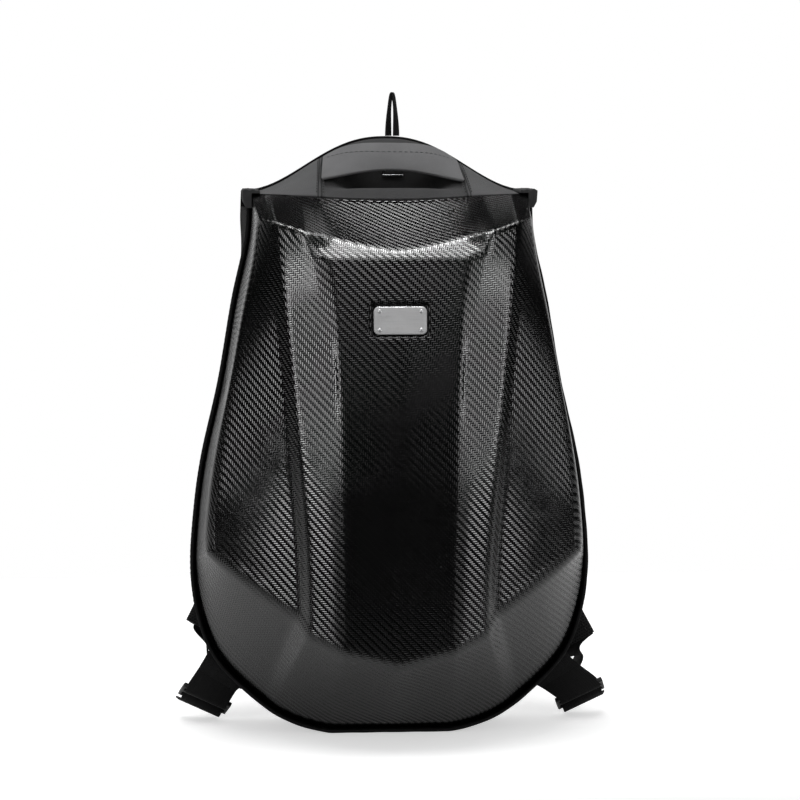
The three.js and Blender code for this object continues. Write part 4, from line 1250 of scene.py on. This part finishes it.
class BAG_OT_binding(bpy.types.Operator):
    """Make the tape folded over the shell's rim, with its row of stitches."""

    bl_idname = "bag.binding"
    bl_label = "Edge Binding"

    STEPS = 420
    ROLL = 0.35
    RIB = 0.9
    UNEVEN = 0.05
    UNEVEN_WAVES = 130
    STITCH_INSET = 3

    def execute(self, context):
        cloth = context.scene.bag_cloth
        share = rim_shares_between_corners(self.STEPS)
        normal = outline_normal(share)
        middle = (BINDING_FRONT + BINDING_BACK) / 2
        half_run = (BINDING_BACK - BINDING_FRONT) / 2
        at = inset_point(share, BINDING_THICKNESS / 2) + BACKWARD * middle
        thick = BINDING_THICKNESS / 2 * (1 + self.UNEVEN * np.sin(share * self.UNEVEN_WAVES))
        side = np.broadcast_to(-BACKWARD, at.shape)
        rings, weave = swept(rounded_section(self.ROLL, steps=7), at, side, half_run, thick, normal)
        tape = shared(ribbed_finish, "rim_tape", cloth.webbing, self.RIB)
        nodes = ("edge_binding",)
        piece = add_loft("rim_binding", rings, tape, weave, nodes=nodes, slot="binding_tape", sharp=50)
        row = inset_point(share, STITCH_SINK) + BACKWARD * (BINDING_BACK - self.STITCH_INSET)
        add_stitching("binding_stitches", [(row, normal)], shared(thread_finish, "dark_thread", cloth.thread))
        return {"FINISHED"}


class BAG_OT_gusset(bpy.types.Operator):
    """Make the cloth wall between the rim and the back panel."""

    bl_idname = "bag.gusset"
    bl_label = "Side Gusset"

    STEPS = 320
    ROWS = 24
    SAG = 1.6
    SAG_SHARES = (0.05, 0.25)
    RIPPLE = 0.5
    RIPPLE_SHARES = (0.1, 0.4)
    RIPPLES_ALONG = 47
    RIPPLES_ACROSS = 5
    STITCH_ROWS = (2, -3)

    def execute(self, context):
        cloth = context.scene.bag_cloth
        share = rim_shares_between_corners(self.STEPS)
        normal = outline_normal(share)
        outer = outline_point(share)
        front = BINDING_BACK + GAP
        rows = []
        for step in np.linspace(0, 1, self.ROWS):
            free = math.sin(math.pi * step)
            hollow = self.SAG * free * ease(*self.SAG_SHARES, np.abs(share))
            waves = np.sin(share * self.RIPPLES_ALONG + step * self.RIPPLES_ACROSS)
            ripple = self.RIPPLE * free * waves * ease(*self.RIPPLE_SHARES, np.abs(share))
            out = flare_at(outer[:, 2]) * step - hollow + ripple
            rows.append(outer + normal * out[:, None] + BACKWARD * mix(front, GUSSET_BACK, step))
        grid = np.stack(rows)
        fabric = shared(woven_finish, "side_cloth", cloth.side, cloth.pitch)
        piece = add_cloth("cloth_gusset", grid[::-1], fabric, nodes=("side_gusset",), slot="bag_cloth")
        lines = [(grid[row] - normal * STITCH_SINK, normal) for row in self.STITCH_ROWS]
        add_stitching("gusset_stitches", lines, shared(thread_finish, "dark_thread", cloth.thread))
        return {"FINISHED"}


class BAG_OT_top(bpy.types.Operator):
    """Make the cloth top between the shell and the back panel, with its two slanted seams."""

    bl_idname = "bag.top"
    bl_label = "Top Panel"

    COLUMNS = 400
    ROWS = 64
    SEAM_DEPTH = 1.6
    SEAM_WIDTH = 0.7
    SEAM_APART = 1.4  # of the two grooves from the seam
    SEAM_PAIR = 2.6  # of the two rows of stitches from the seam
    STITCH_ENDS = slice(4, -4)
    # Tones on the top cloth: painted light on the gores, painted shade in the seam grooves, and the zip tape
    # painted near black as shade under the handle
    GORE_PAINTED_LIGHT = 1.9
    GORE_EDGE = 1
    SEAM_PAINTED_SHADE = 0.25
    TAPE_AND_SHADE_TONE = 0.1
    TAPE_FROM = 0.28
    TAPE_DIP = 0.09
    TAPE_TO = 0.8
    TAPE_FADE_LOW = 0.09
    TAPE_FADE = 0.05
    TAPE_SIDE = 0.5
    SPECULAR = 0.1

    def execute(self, context):
        cloth = context.scene.bag_cloth
        share = np.linspace(0, 1, self.ROWS)
        grid_x, grid_share = np.meshgrid(np.linspace(-TOP_HALF, TOP_HALF, self.COLUMNS), share)
        grid = top_panel_point(grid_x, grid_share)
        seam = np.abs(grid_x - SEAM_MIDDLE) - self.seam_half(grid_share)
        groove = np.exp(-((np.abs(seam) - self.SEAM_APART) / self.SEAM_WIDTH) ** 2)
        dent = self.SEAM_DEPTH * groove * held_at_ends(grid_share)
        grid = grid - surface_normals(grid) * dent[..., None]
        # Painted shade: the seam grooves are darkened as well as pressed in
        tone = mix(self.tone(grid_x, grid_share, seam), self.SEAM_PAINTED_SHADE, groove)
        fabric = shared(woven_finish, "top_cloth", cloth.top, cloth.pitch, specular=self.SPECULAR, toned=True)
        piece = add_cloth("cloth_top", grid, fabric, tone, nodes=("top_panel",), slot="bag_cloth")
        rows = []
        for _, side in SIDES:
            for offset in (-self.SEAM_PAIR, self.SEAM_PAIR):
                x = SEAM_MIDDLE + side * (self.seam_half(share) + offset)
                line = top_panel_point(x, share)[self.STITCH_ENDS]
                rows.append((line, unit(np.cross(RIGHT, np.gradient(line, axis=0)))))
        add_stitching("top_stitches", rows, shared(thread_finish, "dark_thread", cloth.thread))
        return {"FINISHED"}

    def seam_half(self, share):
        return SEAM_HALF + SEAM_LEAN * (1 - share)

    def tone(self, x, share, seam):
        """Painted light and shade: lighter gores outside the seams, where the cloth faces the light more, and
        the black zip tape under the handle painted near black as shade.
        """
        # Painted light: the gores outside the seams are made lighter
        gore = mix(1, self.GORE_PAINTED_LIGHT, ease(-self.GORE_EDGE, self.GORE_EDGE, seam))
        bow = np.clip(1 - ((x - SEAM_MIDDLE) / SEAM_HALF) ** 2, 0, 1)
        low = self.TAPE_FROM - self.TAPE_DIP * bow
        # Painted shade: the zip tape under the handle is painted near black as the handle's shade over it
        tape = ease(low - self.TAPE_FADE_LOW, low + self.TAPE_FADE, share)
        tape = tape * (1 - ease(self.TAPE_TO - self.TAPE_FADE, self.TAPE_TO, share))
        return mix(gore, self.TAPE_AND_SHADE_TONE, tape * ease(self.TAPE_SIDE, -self.TAPE_SIDE, seam))


class BAG_OT_handle(bpy.types.Operator):
    """Make the wide haul handle with its stitched hem."""

    bl_idname = "bag.handle"
    bl_label = "Haul Handle"

    STEPS = 120
    EDGE_ROUND = 0.06
    LEAN = 3
    HEM_MIDDLE = 0.29  # share of the half width
    HEM_END = 0.7
    HEM_ENDS = slice(3, -3)
    THREAD_SHADE = 0.7
    SPECULAR = 0.075

    def execute(self, context):
        cloth = context.scene.bag_cloth
        at, side, half_width = handle_stations(self.STEPS)
        out = thickness_directions(at, side)
        section = rounded_section(self.EDGE_ROUND, steps=7)
        rings, weave = swept(section, at, side, half_width, HANDLE_THICKNESS / 2, out)
        turn = np.linspace(-1, 1, self.STEPS)
        lean = self.LEAN * turn ** 3
        rings[..., 0] += lean[:, None] * (1 - weave[..., 0] / half_width[:, None]) / 2
        fabric = shared(woven_finish, "handle_weave", cloth.handle, cloth.pitch, specular=self.SPECULAR)
        nodes = ("haul_handle",)
        piece = add_loft("haul_band", rings, fabric, weave, nodes=nodes, slot="handle_cloth", sharp=60)
        hem_share = mix(self.HEM_MIDDLE, self.HEM_END, turn ** 2)
        hem = at + side * (half_width * hem_share)[:, None] + out * (HANDLE_THICKNESS / 2)
        thread = shared(thread_finish, "handle_thread", [value * self.THREAD_SHADE for value in cloth.handle])
        add_stitching("handle_stitches", [(hem[self.HEM_ENDS], out[self.HEM_ENDS])], thread)
        return {"FINISHED"}


class BAG_OT_corner_tabs(bpy.types.Operator):
    """Make the folded cloth ends at the rim's two top corners."""

    bl_idname = "bag.corner_tabs"
    bl_label = "Corner Tabs"

    STEPS = 40
    CORNERS = 60
    FRONT = -8
    INNER = 107.3
    WALL = 3.4
    FOOT_IN = 3.2
    KNEE_IN = 0.6
    KNEE_UP = 5
    TOP_ROUND = 1.4
    END_RUN = 1
    END_DROP = 0.4
    END_ROUND = 1.2
    FADED = 2.2
    CRUMPLE = 1.0
    CRUMPLE_FROM = 1.5
    CREASES_X = 0.5
    CREASES_Y = 0.35
    CREASES_Z = 0.9

    def execute(self, context):
        cloth = context.scene.bag_cloth
        shade = [value * self.FADED for value in cloth.side]
        fabric = shared(woven_finish, "tab_cloth", shade, cloth.pitch)
        for word, side in SIDES:
            self.add_tab(word, side, fabric)
        return {"FINISHED"}

    def add_tab(self, word, side, fabric):
        ceiling = SHELL_CORNER[2] + 2 * GAP
        corners = self.section(ceiling)
        closed = np.vstack([corners, corners[:1]])
        x, z = evenly(closed, self.CORNERS + 1)[:-1].T
        depth = np.linspace(self.FRONT, GUSSET_BACK - GAP, self.STEPS)
        rings = []
        for place in depth:
            crease = self.CRUMPLE * np.sin(place * self.CREASES_Y + x * self.CREASES_X + z * self.CREASES_Z)
            lift = np.where(z > ceiling + self.CRUMPLE_FROM, crease, 0)
            rings.append(np.stack([side * x, np.full(len(x), place), z - np.abs(lift)], axis=1))
        rings = np.stack(rings)
        girth = lengths_along(closed)[-1]
        around = np.broadcast_to(girth * np.linspace(0, 1, self.CORNERS), rings.shape[:2])
        weave = np.stack([around, np.broadcast_to(depth[:, None], rings.shape[:2])], axis=-1)
        if side > 0:
            rings = rings[:, ::-1]
        nodes = (f"corner_tab_{word}",)
        piece = add_loft(f"folded_tab_{word}", rings, fabric, weave, nodes=nodes, slot="bag_cloth", sharp=40)

    def section(self, ceiling):
        """Corners of the right-hand tab, from its inner end under the fold and back over it."""
        bottom = CORNER_HEIGHT + GAP
        outer = OUTLINE[-1][0] + BACK_FLARE
        inner = SHELL_CORNER[0] + 2 * GAP
        top = ceiling + self.WALL
        return np.array((
            (self.INNER, ceiling),
            (inner, ceiling),
            (inner, bottom),
            (outer - self.FOOT_IN, bottom),
            (outer - self.KNEE_IN, bottom + self.KNEE_UP),
            (outer, top - self.TOP_ROUND),
            (outer - self.TOP_ROUND, top),
            (self.INNER + self.END_RUN, top - self.END_DROP),
            (self.INNER, top - self.END_ROUND),
        ))


class BAG_OT_trim(bpy.types.Operator):
    """Make the hang loop and the zip pull."""

    bl_idname = "bag.trim"
    bl_label = "Hang Loop and Pull"

    LOOP_STEPS = 72
    LOOP_AT_X = 6
    LOOP_WIDTH = 8
    LOOP_THICKNESS = 1.6
    LOOP_TOP = 533
    LOOP_HALF_SPAN = 3.3
    LOOP_EASE = 0.9
    LOOP_TWIST = (50, 72)  # degrees at its feet and above them
    TWIST_SHARES = (0, 0.8)
    EDGE_ROUND = 0.12
    PULL_STEPS = 12
    PULL_WIDTH = 18
    PULL_LENGTH = 9
    PULL_THICKNESS = 1.6
    PULL_CLEAR = 0.9
    PULL_TAPER = 0.12
    PULL_AT_X = 4.0
    PULL_AT_SHARES = 0.66 + 0.1 * np.array((-1, 0, 1))  # below, at and above its middle on the slope
    BLACKENED = (0.004, 0.004, 0.004)
    PAINTED_GLINT = (0.38, 0.38, 0.385)
    GLINT_EDGE = 0.7

    def execute(self, context):
        turn = np.linspace(-1, 1, self.LOOP_STEPS + 1)
        rise = np.cos(np.pi / 2 * np.abs(turn) ** self.LOOP_EASE)
        twist = np.radians(mix(*self.LOOP_TWIST, ease(*self.TWIST_SHARES, rise)))
        foot = arch_height(self.LOOP_AT_X) + GAP
        x = self.LOOP_AT_X + self.LOOP_HALF_SPAN * np.sin(np.pi / 2 * turn)
        y = np.full_like(x, GUSSET_BACK + BACK_THICKNESS / 2)
        at = np.stack([x, y, mix(foot, self.LOOP_TOP, rise)], axis=1)
        side = np.stack([np.cos(twist), np.sin(twist), np.zeros_like(x)], axis=1)
        section = rounded_section(self.EDGE_ROUND, steps=5)
        rings, weave = swept(section, at, side, self.LOOP_WIDTH / 2, self.LOOP_THICKNESS / 2)
        webbing = shared(ribbed_finish, "ribbed_webbing", context.scene.bag_cloth.webbing, WEBBING_RIB)
        add_loft("hang_ribbon", rings, webbing, weave, nodes=("hang_loop",), slot="webbing", sharp=60)
        self.add_pull()
        return {"FINISHED"}

    def pull_finish(self):
        """Blackened metal with a painted glint: a bright metal colour along its lower edge."""
        made = Finish("pull_metal", roughness=0.3, metallic=1.0)
        # Painted glint: the lower edge is coloured bright to show a line of reflected light
        glint_mask = made.math("LESS_THAN", made.weave()["Y"], self.GLINT_EDGE)
        return made.wear(
            Base_Color=made.blend(glint_mask, colour(self.BLACKENED), colour(self.PAINTED_GLINT)),
            Roughness=made.vary(made.noise(scale=300.0), low=0.24, high=0.36),
        )

    def add_pull(self):
        low, seat, high = top_panel_point(np.full(3, self.PULL_AT_X), self.PULL_AT_SHARES)
        up = unit((high - low) * (0, 1, 1))
        out = np.cross(RIGHT, up)
        along = np.linspace(-self.PULL_LENGTH / 2, self.PULL_LENGTH / 2, self.PULL_STEPS)[:, None]
        at = seat + out * (self.PULL_CLEAR + self.PULL_THICKNESS / 2) + up * along
        taper = 1 - self.PULL_TAPER * np.linspace(0, 1, self.PULL_STEPS) ** 2
        side = np.broadcast_to(RIGHT, at.shape)
        outs = np.broadcast_to(out, at.shape)
        section = rounded_section(self.EDGE_ROUND, steps=9)
        rings, weave = swept(section, at, side, self.PULL_WIDTH / 2 * taper, self.PULL_THICKNESS / 2, outs)
        metal = self.pull_finish()
        nodes = ("zip_pull",)
        add_loft("pull_tab", rings[:, ::-1], metal, weave[:, ::-1], nodes=nodes, slot="pull_metal", sharp=40)


class BAG_OT_back(bpy.types.Operator):
    """Make the padded back panel with its pressed channels."""

    bl_idname = "bag.back"
    bl_label = "Back Panel"

    COLUMNS = 150
    ROWS = 200
    SIDE_STEPS = 801
    ARCH_STEPS = 200
    LEAST_HALF = 2
    LEAST_RISE = 1e-6
    EDGE = 9
    EDGE_DROP = 6
    CHANNELS = (150, 270, 390)
    CHANNEL_WIDTH = 7
    CHANNEL_DEPTH = 2.5
    CHANNEL_SLANT = 0.1
    CHANNEL_EDGE = (10, 30)

    def execute(self, context):
        front = GUSSET_BACK + GAP
        height = (1 - np.cos(np.linspace(0, np.pi, self.ROWS))) / 2 * ARCH_TOP
        across = np.sin(np.linspace(-np.pi / 2, np.pi / 2, self.COLUMNS))
        x = across[None] * self.half_width(height)[:, None]
        z = height[:, None] + 0 * x
        back = np.stack([x, front + BACK_THICKNESS - self.sunk(x, z), z], axis=-1)
        face = np.stack([x, np.full_like(x, front), z], axis=-1)
        mesh = shared(spacer_finish, "spacer_mesh", context.scene.bag_cloth.padding)
        weave = grid_weave(back)
        piece = add_closed("back_pad", face, back, mesh, weave, nodes=("back_panel",), slot="padding")
        return {"FINISHED"}

    def half_width(self, height):
        """Half width of the panel at each height, up its side and over the arch."""
        steps = np.linspace(0, 1, self.SIDE_STEPS)
        side = outline_point(steps)
        side = side + outline_normal(steps) * flare_at(side[:, 2])[:, None]
        arch_x = np.linspace(0, side[-1, 0], self.ARCH_STEPS)[::-1]
        x = np.concatenate([side[:, 0], arch_x])
        z = np.concatenate([side[:, 2], arch_height(arch_x)])
        rising = np.maximum.accumulate(z + np.arange(len(z)) * self.LEAST_RISE)
        return np.maximum(np.interp(height, rising, x), self.LEAST_HALF)

    def sunk(self, x, z):
        """How far the padded face lies under the panel's full thickness."""
        half = np.abs(x).max(axis=1, keepdims=True)
        from_side = half - np.abs(x)
        from_end = np.minimum(z, arch_height(x) - z)
        from_edge = np.clip(np.minimum(from_side, np.maximum(from_end, 0)), 0, None)
        rim = self.EDGE_DROP * (1 - ease(0, self.EDGE, from_edge))
        middle = self.groove(x)
        ribs = sum(self.groove(z - channel - self.CHANNEL_SLANT * np.abs(x)) for channel in self.CHANNELS)
        return rim + np.maximum(middle, ribs) * ease(*self.CHANNEL_EDGE, from_edge)

    def groove(self, away):
        return self.CHANNEL_DEPTH * np.exp(-(away / self.CHANNEL_WIDTH) ** 2)


class BAG_OT_straps(bpy.types.Operator):
    """Make the padded shoulder straps with their quilting stitches."""

    bl_idname = "bag.straps"
    bl_label = "Shoulder Straps"

    STEPS = 160
    CORNERS = 40
    THICKNESS = 12
    SQUARE_ACROSS = 0.55
    SQUARE_THROUGH = 0.6
    END_THINNED = 0.35
    THINNED_SHARES = (0, 0.06)
    QUILT_AT = 0.72
    QUILT_HEIGHT = 0.97
    QUILT_ENDS = slice(4, -2)

    def execute(self, context):
        cloth = context.scene.bag_cloth
        mesh = shared(spacer_finish, "spacer_mesh", cloth.padding)
        thread = shared(thread_finish, "dark_thread", cloth.thread)
        turn = np.linspace(0, 2 * np.pi, self.CORNERS, endpoint=False)
        squared = ((np.cos(turn), self.SQUARE_ACROSS), (np.sin(turn), self.SQUARE_THROUGH))
        section = np.stack([np.sign(way) * np.abs(way) ** power for way, power in squared], axis=1)
        thinned = 1 - ease(*self.THINNED_SHARES, np.linspace(0, 1, self.STEPS + 1))
        thick = self.THICKNESS / 2 * (1 - self.END_THINNED * thinned)
        rows = []
        for word, side in SIDES:
            at, across, half_width = strap_stations(side, self.STEPS)
            out = thickness_directions(at, across)
            rings, weave = swept(section, at, across, half_width, thick, out)
            nodes = (f"shoulder_strap_{word}",)
            piece = add_loft(f"strap_pad_{word}", rings, mesh, weave, nodes=nodes, slot="padding", sharp=60)
            for edge in (-1, 1):
                aside = across * (edge * self.QUILT_AT * half_width)[:, None]
                line = at + aside + out * (thick * self.QUILT_HEIGHT)[:, None]
                rows.append((line[self.QUILT_ENDS], out[self.QUILT_ENDS]))
        add_stitching("strap_stitches", rows, thread)
        return {"FINISHED"}


class BAG_OT_webbing(bpy.types.Operator):
    """Make the adjuster webbing and the webbing that carries the locks."""

    bl_idname = "bag.webbing"
    bl_label = "Webbing"

    STEPS = 200
    EDGE_ROUND = 0.03
    KINDS = (
        ("adjuster", "strap_webbing", strap_webbing_stations),
        ("anchor", "anchor_webbing", anchor_stations),
    )

    def execute(self, context):
        webbing = shared(ribbed_finish, "ribbed_webbing", context.scene.bag_cloth.webbing, WEBBING_RIB)
        section = rounded_section(self.EDGE_ROUND, steps=5)
        for word, side in SIDES:
            for kind, node, stations in self.KINDS:
                at, across, half_width = stations(side, self.STEPS)
                rings, weave = swept(section, at, across, half_width, WEBBING_THICKNESS / 2)
                name = f"{kind}_{word}"
                nodes = (f"{node}_{word}",)
                piece = add_loft(name, rings, webbing, weave, nodes=nodes, slot="webbing", sharp=60)
        return {"FINISHED"}


class BAG_OT_locks(bpy.types.Operator):
    """Make the moulded ladder locks."""

    bl_idname = "bag.locks"
    bl_label = "Ladder Locks"

    BEVEL = 0.9
    BEVEL_SEGMENTS = 3
    BAR_LIFT = 0.6
    SLOTS = {(1, 1), (1, 3)}  # column and row of each open cell

    def execute(self, context):
        plastic = moulded_finish("moulded_plastic", context.scene.bag_cloth.webbing)
        for word, side in SIDES:
            self.add_lock(word, lock_axes(side), plastic)
        return {"FINISHED"}

    def add_lock(self, word, lock, plastic):
        half = LOCK_LENGTH / 2
        bar = LOCK_BAR / 2
        reach = LOCK_PITCH + bar
        xs = (-half, LOCK_RAIL - half, half - LOCK_RAIL, half)
        ys = (-reach, bar - LOCK_PITCH, -bar, bar, LOCK_PITCH - bar, reach)
        points = []
        for level in (-LOCK_THICKNESS / 2, LOCK_THICKNESS / 2):
            for y in ys:
                lift = self.BAR_LIFT if level > 0 and abs(y) < LOCK_BAR else 0
                for x in xs:
                    place = lock["at"] + lock["long"] * x + lock["pull"] * y
                    points.append(place + lock["face"] * (level + lift))
        faces = self.faces(len(xs), len(ys))
        if np.dot(np.cross(lock["long"], lock["pull"]), lock["face"]) < 0:
            faces = [face[::-1] for face in faces]
        nodes = (f"ladder_lock_{word}",)
        piece = add_piece(f"lock_{word}", np.array(points), faces, plastic, nodes, "lock_plastic", sharp=40)
        bevel = piece.modifiers.new("soft edges", "BEVEL")
        bevel.width = self.BEVEL * MM
        bevel.segments = self.BEVEL_SEGMENTS
        bevel.limit_method = "ANGLE"
        bevel.harden_normals = False

    def faces(self, width, height):
        """Top, bottom and walls of a plate made of cells, with its slots left open."""
        count = width * height
        cells = {(column, row) for column in range(width - 1) for row in range(height - 1)} - self.SLOTS
        faces = []
        for column, row in sorted(cells):
            a = row * width + column
            b, c, d = a + 1, a + width + 1, a + width
            faces.append([a + count, b + count, c + count, d + count])
            faces.append([d, c, b, a])
            walls = (((0, -1), (a, b)), ((1, 0), (b, c)), ((0, 1), (c, d)), ((-1, 0), (d, a)))
            for (aside, onward), (start, end) in walls:
                if (column + aside, row + onward) not in cells:
                    faces.append([start, end, end + count, start + count])
        return faces


class BAG_OT_stage(bpy.types.Operator):
    """Make the floor, the soft boxes, the white surround and the camera."""

    bl_idname = "bag.stage"
    bl_label = "Stage"

    AIM = (8.3, 0, 279)
    SENSOR = 36
    WHITE = (1, 1, 1, 1)
    BLACK = (0, 0, 0, 1)
    FLOOR_FRONT = -0.26
    FLOOR_BACK = 0.9
    FLOOR_HALF = 1.3
    FLOOR_REFLECTED = (-0.2, -0.14)  # the floor in front of this shows black in reflections
    FLOOR_GLOW = 0.11
    FLOOR_SHOWN_GLOW = 0.41
    PAPER = (0.88, 0.92)
    AMBIENT = 0.5
    BEHIND = (0.6, 0.95)
    BEHIND_LEVELS = (0.02, 0.65)
    ABOVE = (0.05, 0.3)
    ABOVE_LEVELS = (1.0, 0.02)
    FILL_AT = Vector((-0.15, -0.35, 1.8))
    FILL_TOWARDS = Vector((0, 0, 0.3))
    FILL_SIZE = 1.2
    BOX_DISTANCE = 1.5
    BOX_CENTRE = Vector((0, -0.1, 0.28))
    # Name, azimuths, elevations and radiance
    SOFT_BOXES = (
        ("left_box", (-52, -23), (-8, 26), 1.9),
        ("right_box", (31, 60), (-8, 22), 2.4),
        ("left_strip", (-53, -43), (-8, 22), 13),
        ("right_strip", (52, 61), (-8, 18), 10),
        ("brow_box", (-4, 12), (36, 60), 7),
        ("crown_box", (-9, 9), (62, 86), 6.4),
        ("scoop_box", (-10, 10), (87, 102), 33),
        ("left_corner_box", (-60, -32), (114, 132), 5),
        ("right_corner_box", (32, 60), (114, 132), 5),
    )

    def execute(self, context):
        stage = context.scene.bag_stage
        context.scene.view_settings.view_transform = "Standard"
        self.add_floor()
        self.add_surround(context.scene)
        for row in self.SOFT_BOXES:
            self.add_soft_box(*row, stage.shine)
        self.add_fill(stage.fill)
        self.add_camera(context.scene, stage)
        return {"FINISHED"}

    def add_floor(self):
        half = self.FLOOR_HALF
        corners = [
            (-half, self.FLOOR_FRONT, 0), (half, self.FLOOR_FRONT, 0),
            (half, self.FLOOR_BACK, 0), (-half, self.FLOOR_BACK, 0),
        ]
        mesh = bpy.data.meshes.new("floor")
        mesh.from_pydata(corners, [], [(0, 1, 2, 3)])
        made = Finish("floor_paper", roughness=1.0)
        made.soften(specular=0.0)
        rays = made.node("ShaderNodeLightPath").outputs
        glow = made.math("MULTIPLY_ADD", rays["Is Camera Ray"], self.FLOOR_SHOWN_GLOW, self.FLOOR_GLOW)
        paper = made.blend(made.noise(scale=4.0), *(colour((level,) * 3) for level in self.PAPER))
        ahead = made.spread(made.split(made.place())["Y"], *self.FLOOR_REFLECTED, 1.0, 0.0)
        unseen = made.math("MULTIPLY", ahead, rays["Is Glossy Ray"])
        mesh.materials.append(made.wear(
            Base_Color=made.blend(unseen, paper, self.BLACK),
            Emission_Color=self.WHITE,
            Emission_Strength=glow,
        ))
        add_object("floor", mesh)

    def add_surround(self, scene):
        """White to the camera; in reflections, white behind the bag and dark in front of it."""
        world = bpy.data.worlds.new("surround")
        scene.world = world
        world.use_nodes = True
        made = Nodes(world.node_tree)
        towards = made.split(made.node("ShaderNodeTexCoord").outputs["Generated"])
        smooth = {"interpolation_type": "SMOOTHSTEP"}
        behind = made.spread(towards["Y"], *self.BEHIND, *self.BEHIND_LEVELS, **smooth)
        above = made.spread(towards["Z"], *self.ABOVE, *self.ABOVE_LEVELS, **smooth)
        strength = made.math("MULTIPLY", behind, above)
        rays = made.node("ShaderNodeLightPath").outputs
        for ray, level in (("Is Diffuse Ray", self.AMBIENT), ("Is Camera Ray", 1.0)):
            choose = made.node("ShaderNodeMix", {"Factor": rays[ray], "A": strength, "B": level})
            strength = choose.outputs["Result"]
        background = world.node_tree.nodes["Background"]
        made.feed(background.inputs["Strength"], strength)
        made.feed(background.inputs["Color"], self.WHITE)

    def direction(self, azimuth, elevation):
        """Towards a place round the bag: azimuth from its front, elevation up from the horizon and over."""
        turn = math.radians(azimuth)
        rise = math.radians(elevation)
        return Vector((math.sin(turn) * math.cos(rise), -math.cos(turn) * math.cos(rise), math.sin(rise)))

    def face(self, thing, towards):
        """Turns a light or camera to look in a direction."""
        thing.rotation_euler = towards.to_track_quat("-Z", "Y").to_euler()

    def add_soft_box(self, name, azimuths, elevations, radiance, share):
        """A soft box that only shows in glossy surfaces, between two azimuths and two elevations."""
        light = bpy.data.lights.new(name, "AREA")
        light.shape = "RECTANGLE"
        light.size = 2 * self.BOX_DISTANCE * math.tan(math.radians(azimuths[1] - azimuths[0]) / 2)
        light.size_y = 2 * self.BOX_DISTANCE * math.tan(math.radians(elevations[1] - elevations[0]) / 2)
        light.energy = share * radiance * math.pi * light.size * light.size_y
        towards = self.direction(sum(azimuths) / 2, sum(elevations) / 2)
        box = add_object(name, light)
        box.location = self.BOX_CENTRE + towards * self.BOX_DISTANCE
        self.face(box, -towards)
        box.visible_camera = False
        box.visible_diffuse = False

    def add_fill(self, power):
        """A broad light from above for the cloth and the floor."""
        light = bpy.data.lights.new("fill", "AREA")
        light.size = self.FILL_SIZE
        light.energy = power
        fill = add_object("fill", light)
        fill.location = self.FILL_AT
        self.face(fill, self.FILL_TOWARDS - self.FILL_AT)
        fill.visible_camera = False
        fill.visible_glossy = False

    def add_camera(self, scene, stage):
        data = bpy.data.cameras.new("camera")
        data.lens = stage.lens
        data.sensor_width = self.SENSOR
        camera = add_object("camera", data)
        back = self.direction(math.degrees(stage.azimuth), math.degrees(stage.elevation))
        camera.location = Vector(self.AIM) * MM + Vector(RIM_MIDDLE) + back * stage.distance
        self.face(camera, -back)
        scene.camera = camera


MAKERS = (
    BAG_OT_shell, BAG_OT_plate, BAG_OT_binding, BAG_OT_gusset, BAG_OT_top, BAG_OT_handle, BAG_OT_corner_tabs,
    BAG_OT_trim, BAG_OT_back, BAG_OT_straps, BAG_OT_webbing, BAG_OT_locks, BAG_OT_stage,
)


class BAG_PT_makers(bpy.types.Panel):
    """Lists the backpack's makers and settings."""

    bl_idname = "BAG_PT_makers"
    bl_label = "Backpack"
    bl_space_type = "VIEW_3D"
    bl_region_type = "UI"
    bl_category = "Backpack"

    def draw(self, context):
        for maker in MAKERS:
            self.layout.operator(maker.bl_idname)
        for group in (context.scene.bag_shell, context.scene.bag_cloth, context.scene.bag_stage):
            for key in group.bl_rna.properties.keys():
                if key not in ("rna_type", "name"):
                    self.layout.prop(group, key)


CLASSES = (ShellSettings, ClothSettings, StageSettings, *MAKERS, BAG_PT_makers)


def register():
    for kind in CLASSES:
        bpy.utils.register_class(kind)
    bpy.types.Scene.bag_shell = bpy.props.PointerProperty(type=ShellSettings)
    bpy.types.Scene.bag_cloth = bpy.props.PointerProperty(type=ClothSettings)
    bpy.types.Scene.bag_stage = bpy.props.PointerProperty(type=StageSettings)


def unregister():
    del bpy.types.Scene.bag_shell
    del bpy.types.Scene.bag_cloth
    del bpy.types.Scene.bag_stage
    for kind in reversed(CLASSES):
        bpy.utils.unregister_class(kind)


def main():
    register()
    bpy.ops.bag.shell()
    bpy.ops.bag.plate()
    bpy.ops.bag.binding()
    bpy.ops.bag.gusset()
    bpy.ops.bag.top()
    bpy.ops.bag.handle()
    bpy.ops.bag.corner_tabs()
    bpy.ops.bag.trim()
    bpy.ops.bag.back()
    bpy.ops.bag.straps()
    bpy.ops.bag.webbing()
    bpy.ops.bag.locks()
    bpy.ops.bag.stage()


if __name__ == "__main__":
    main()
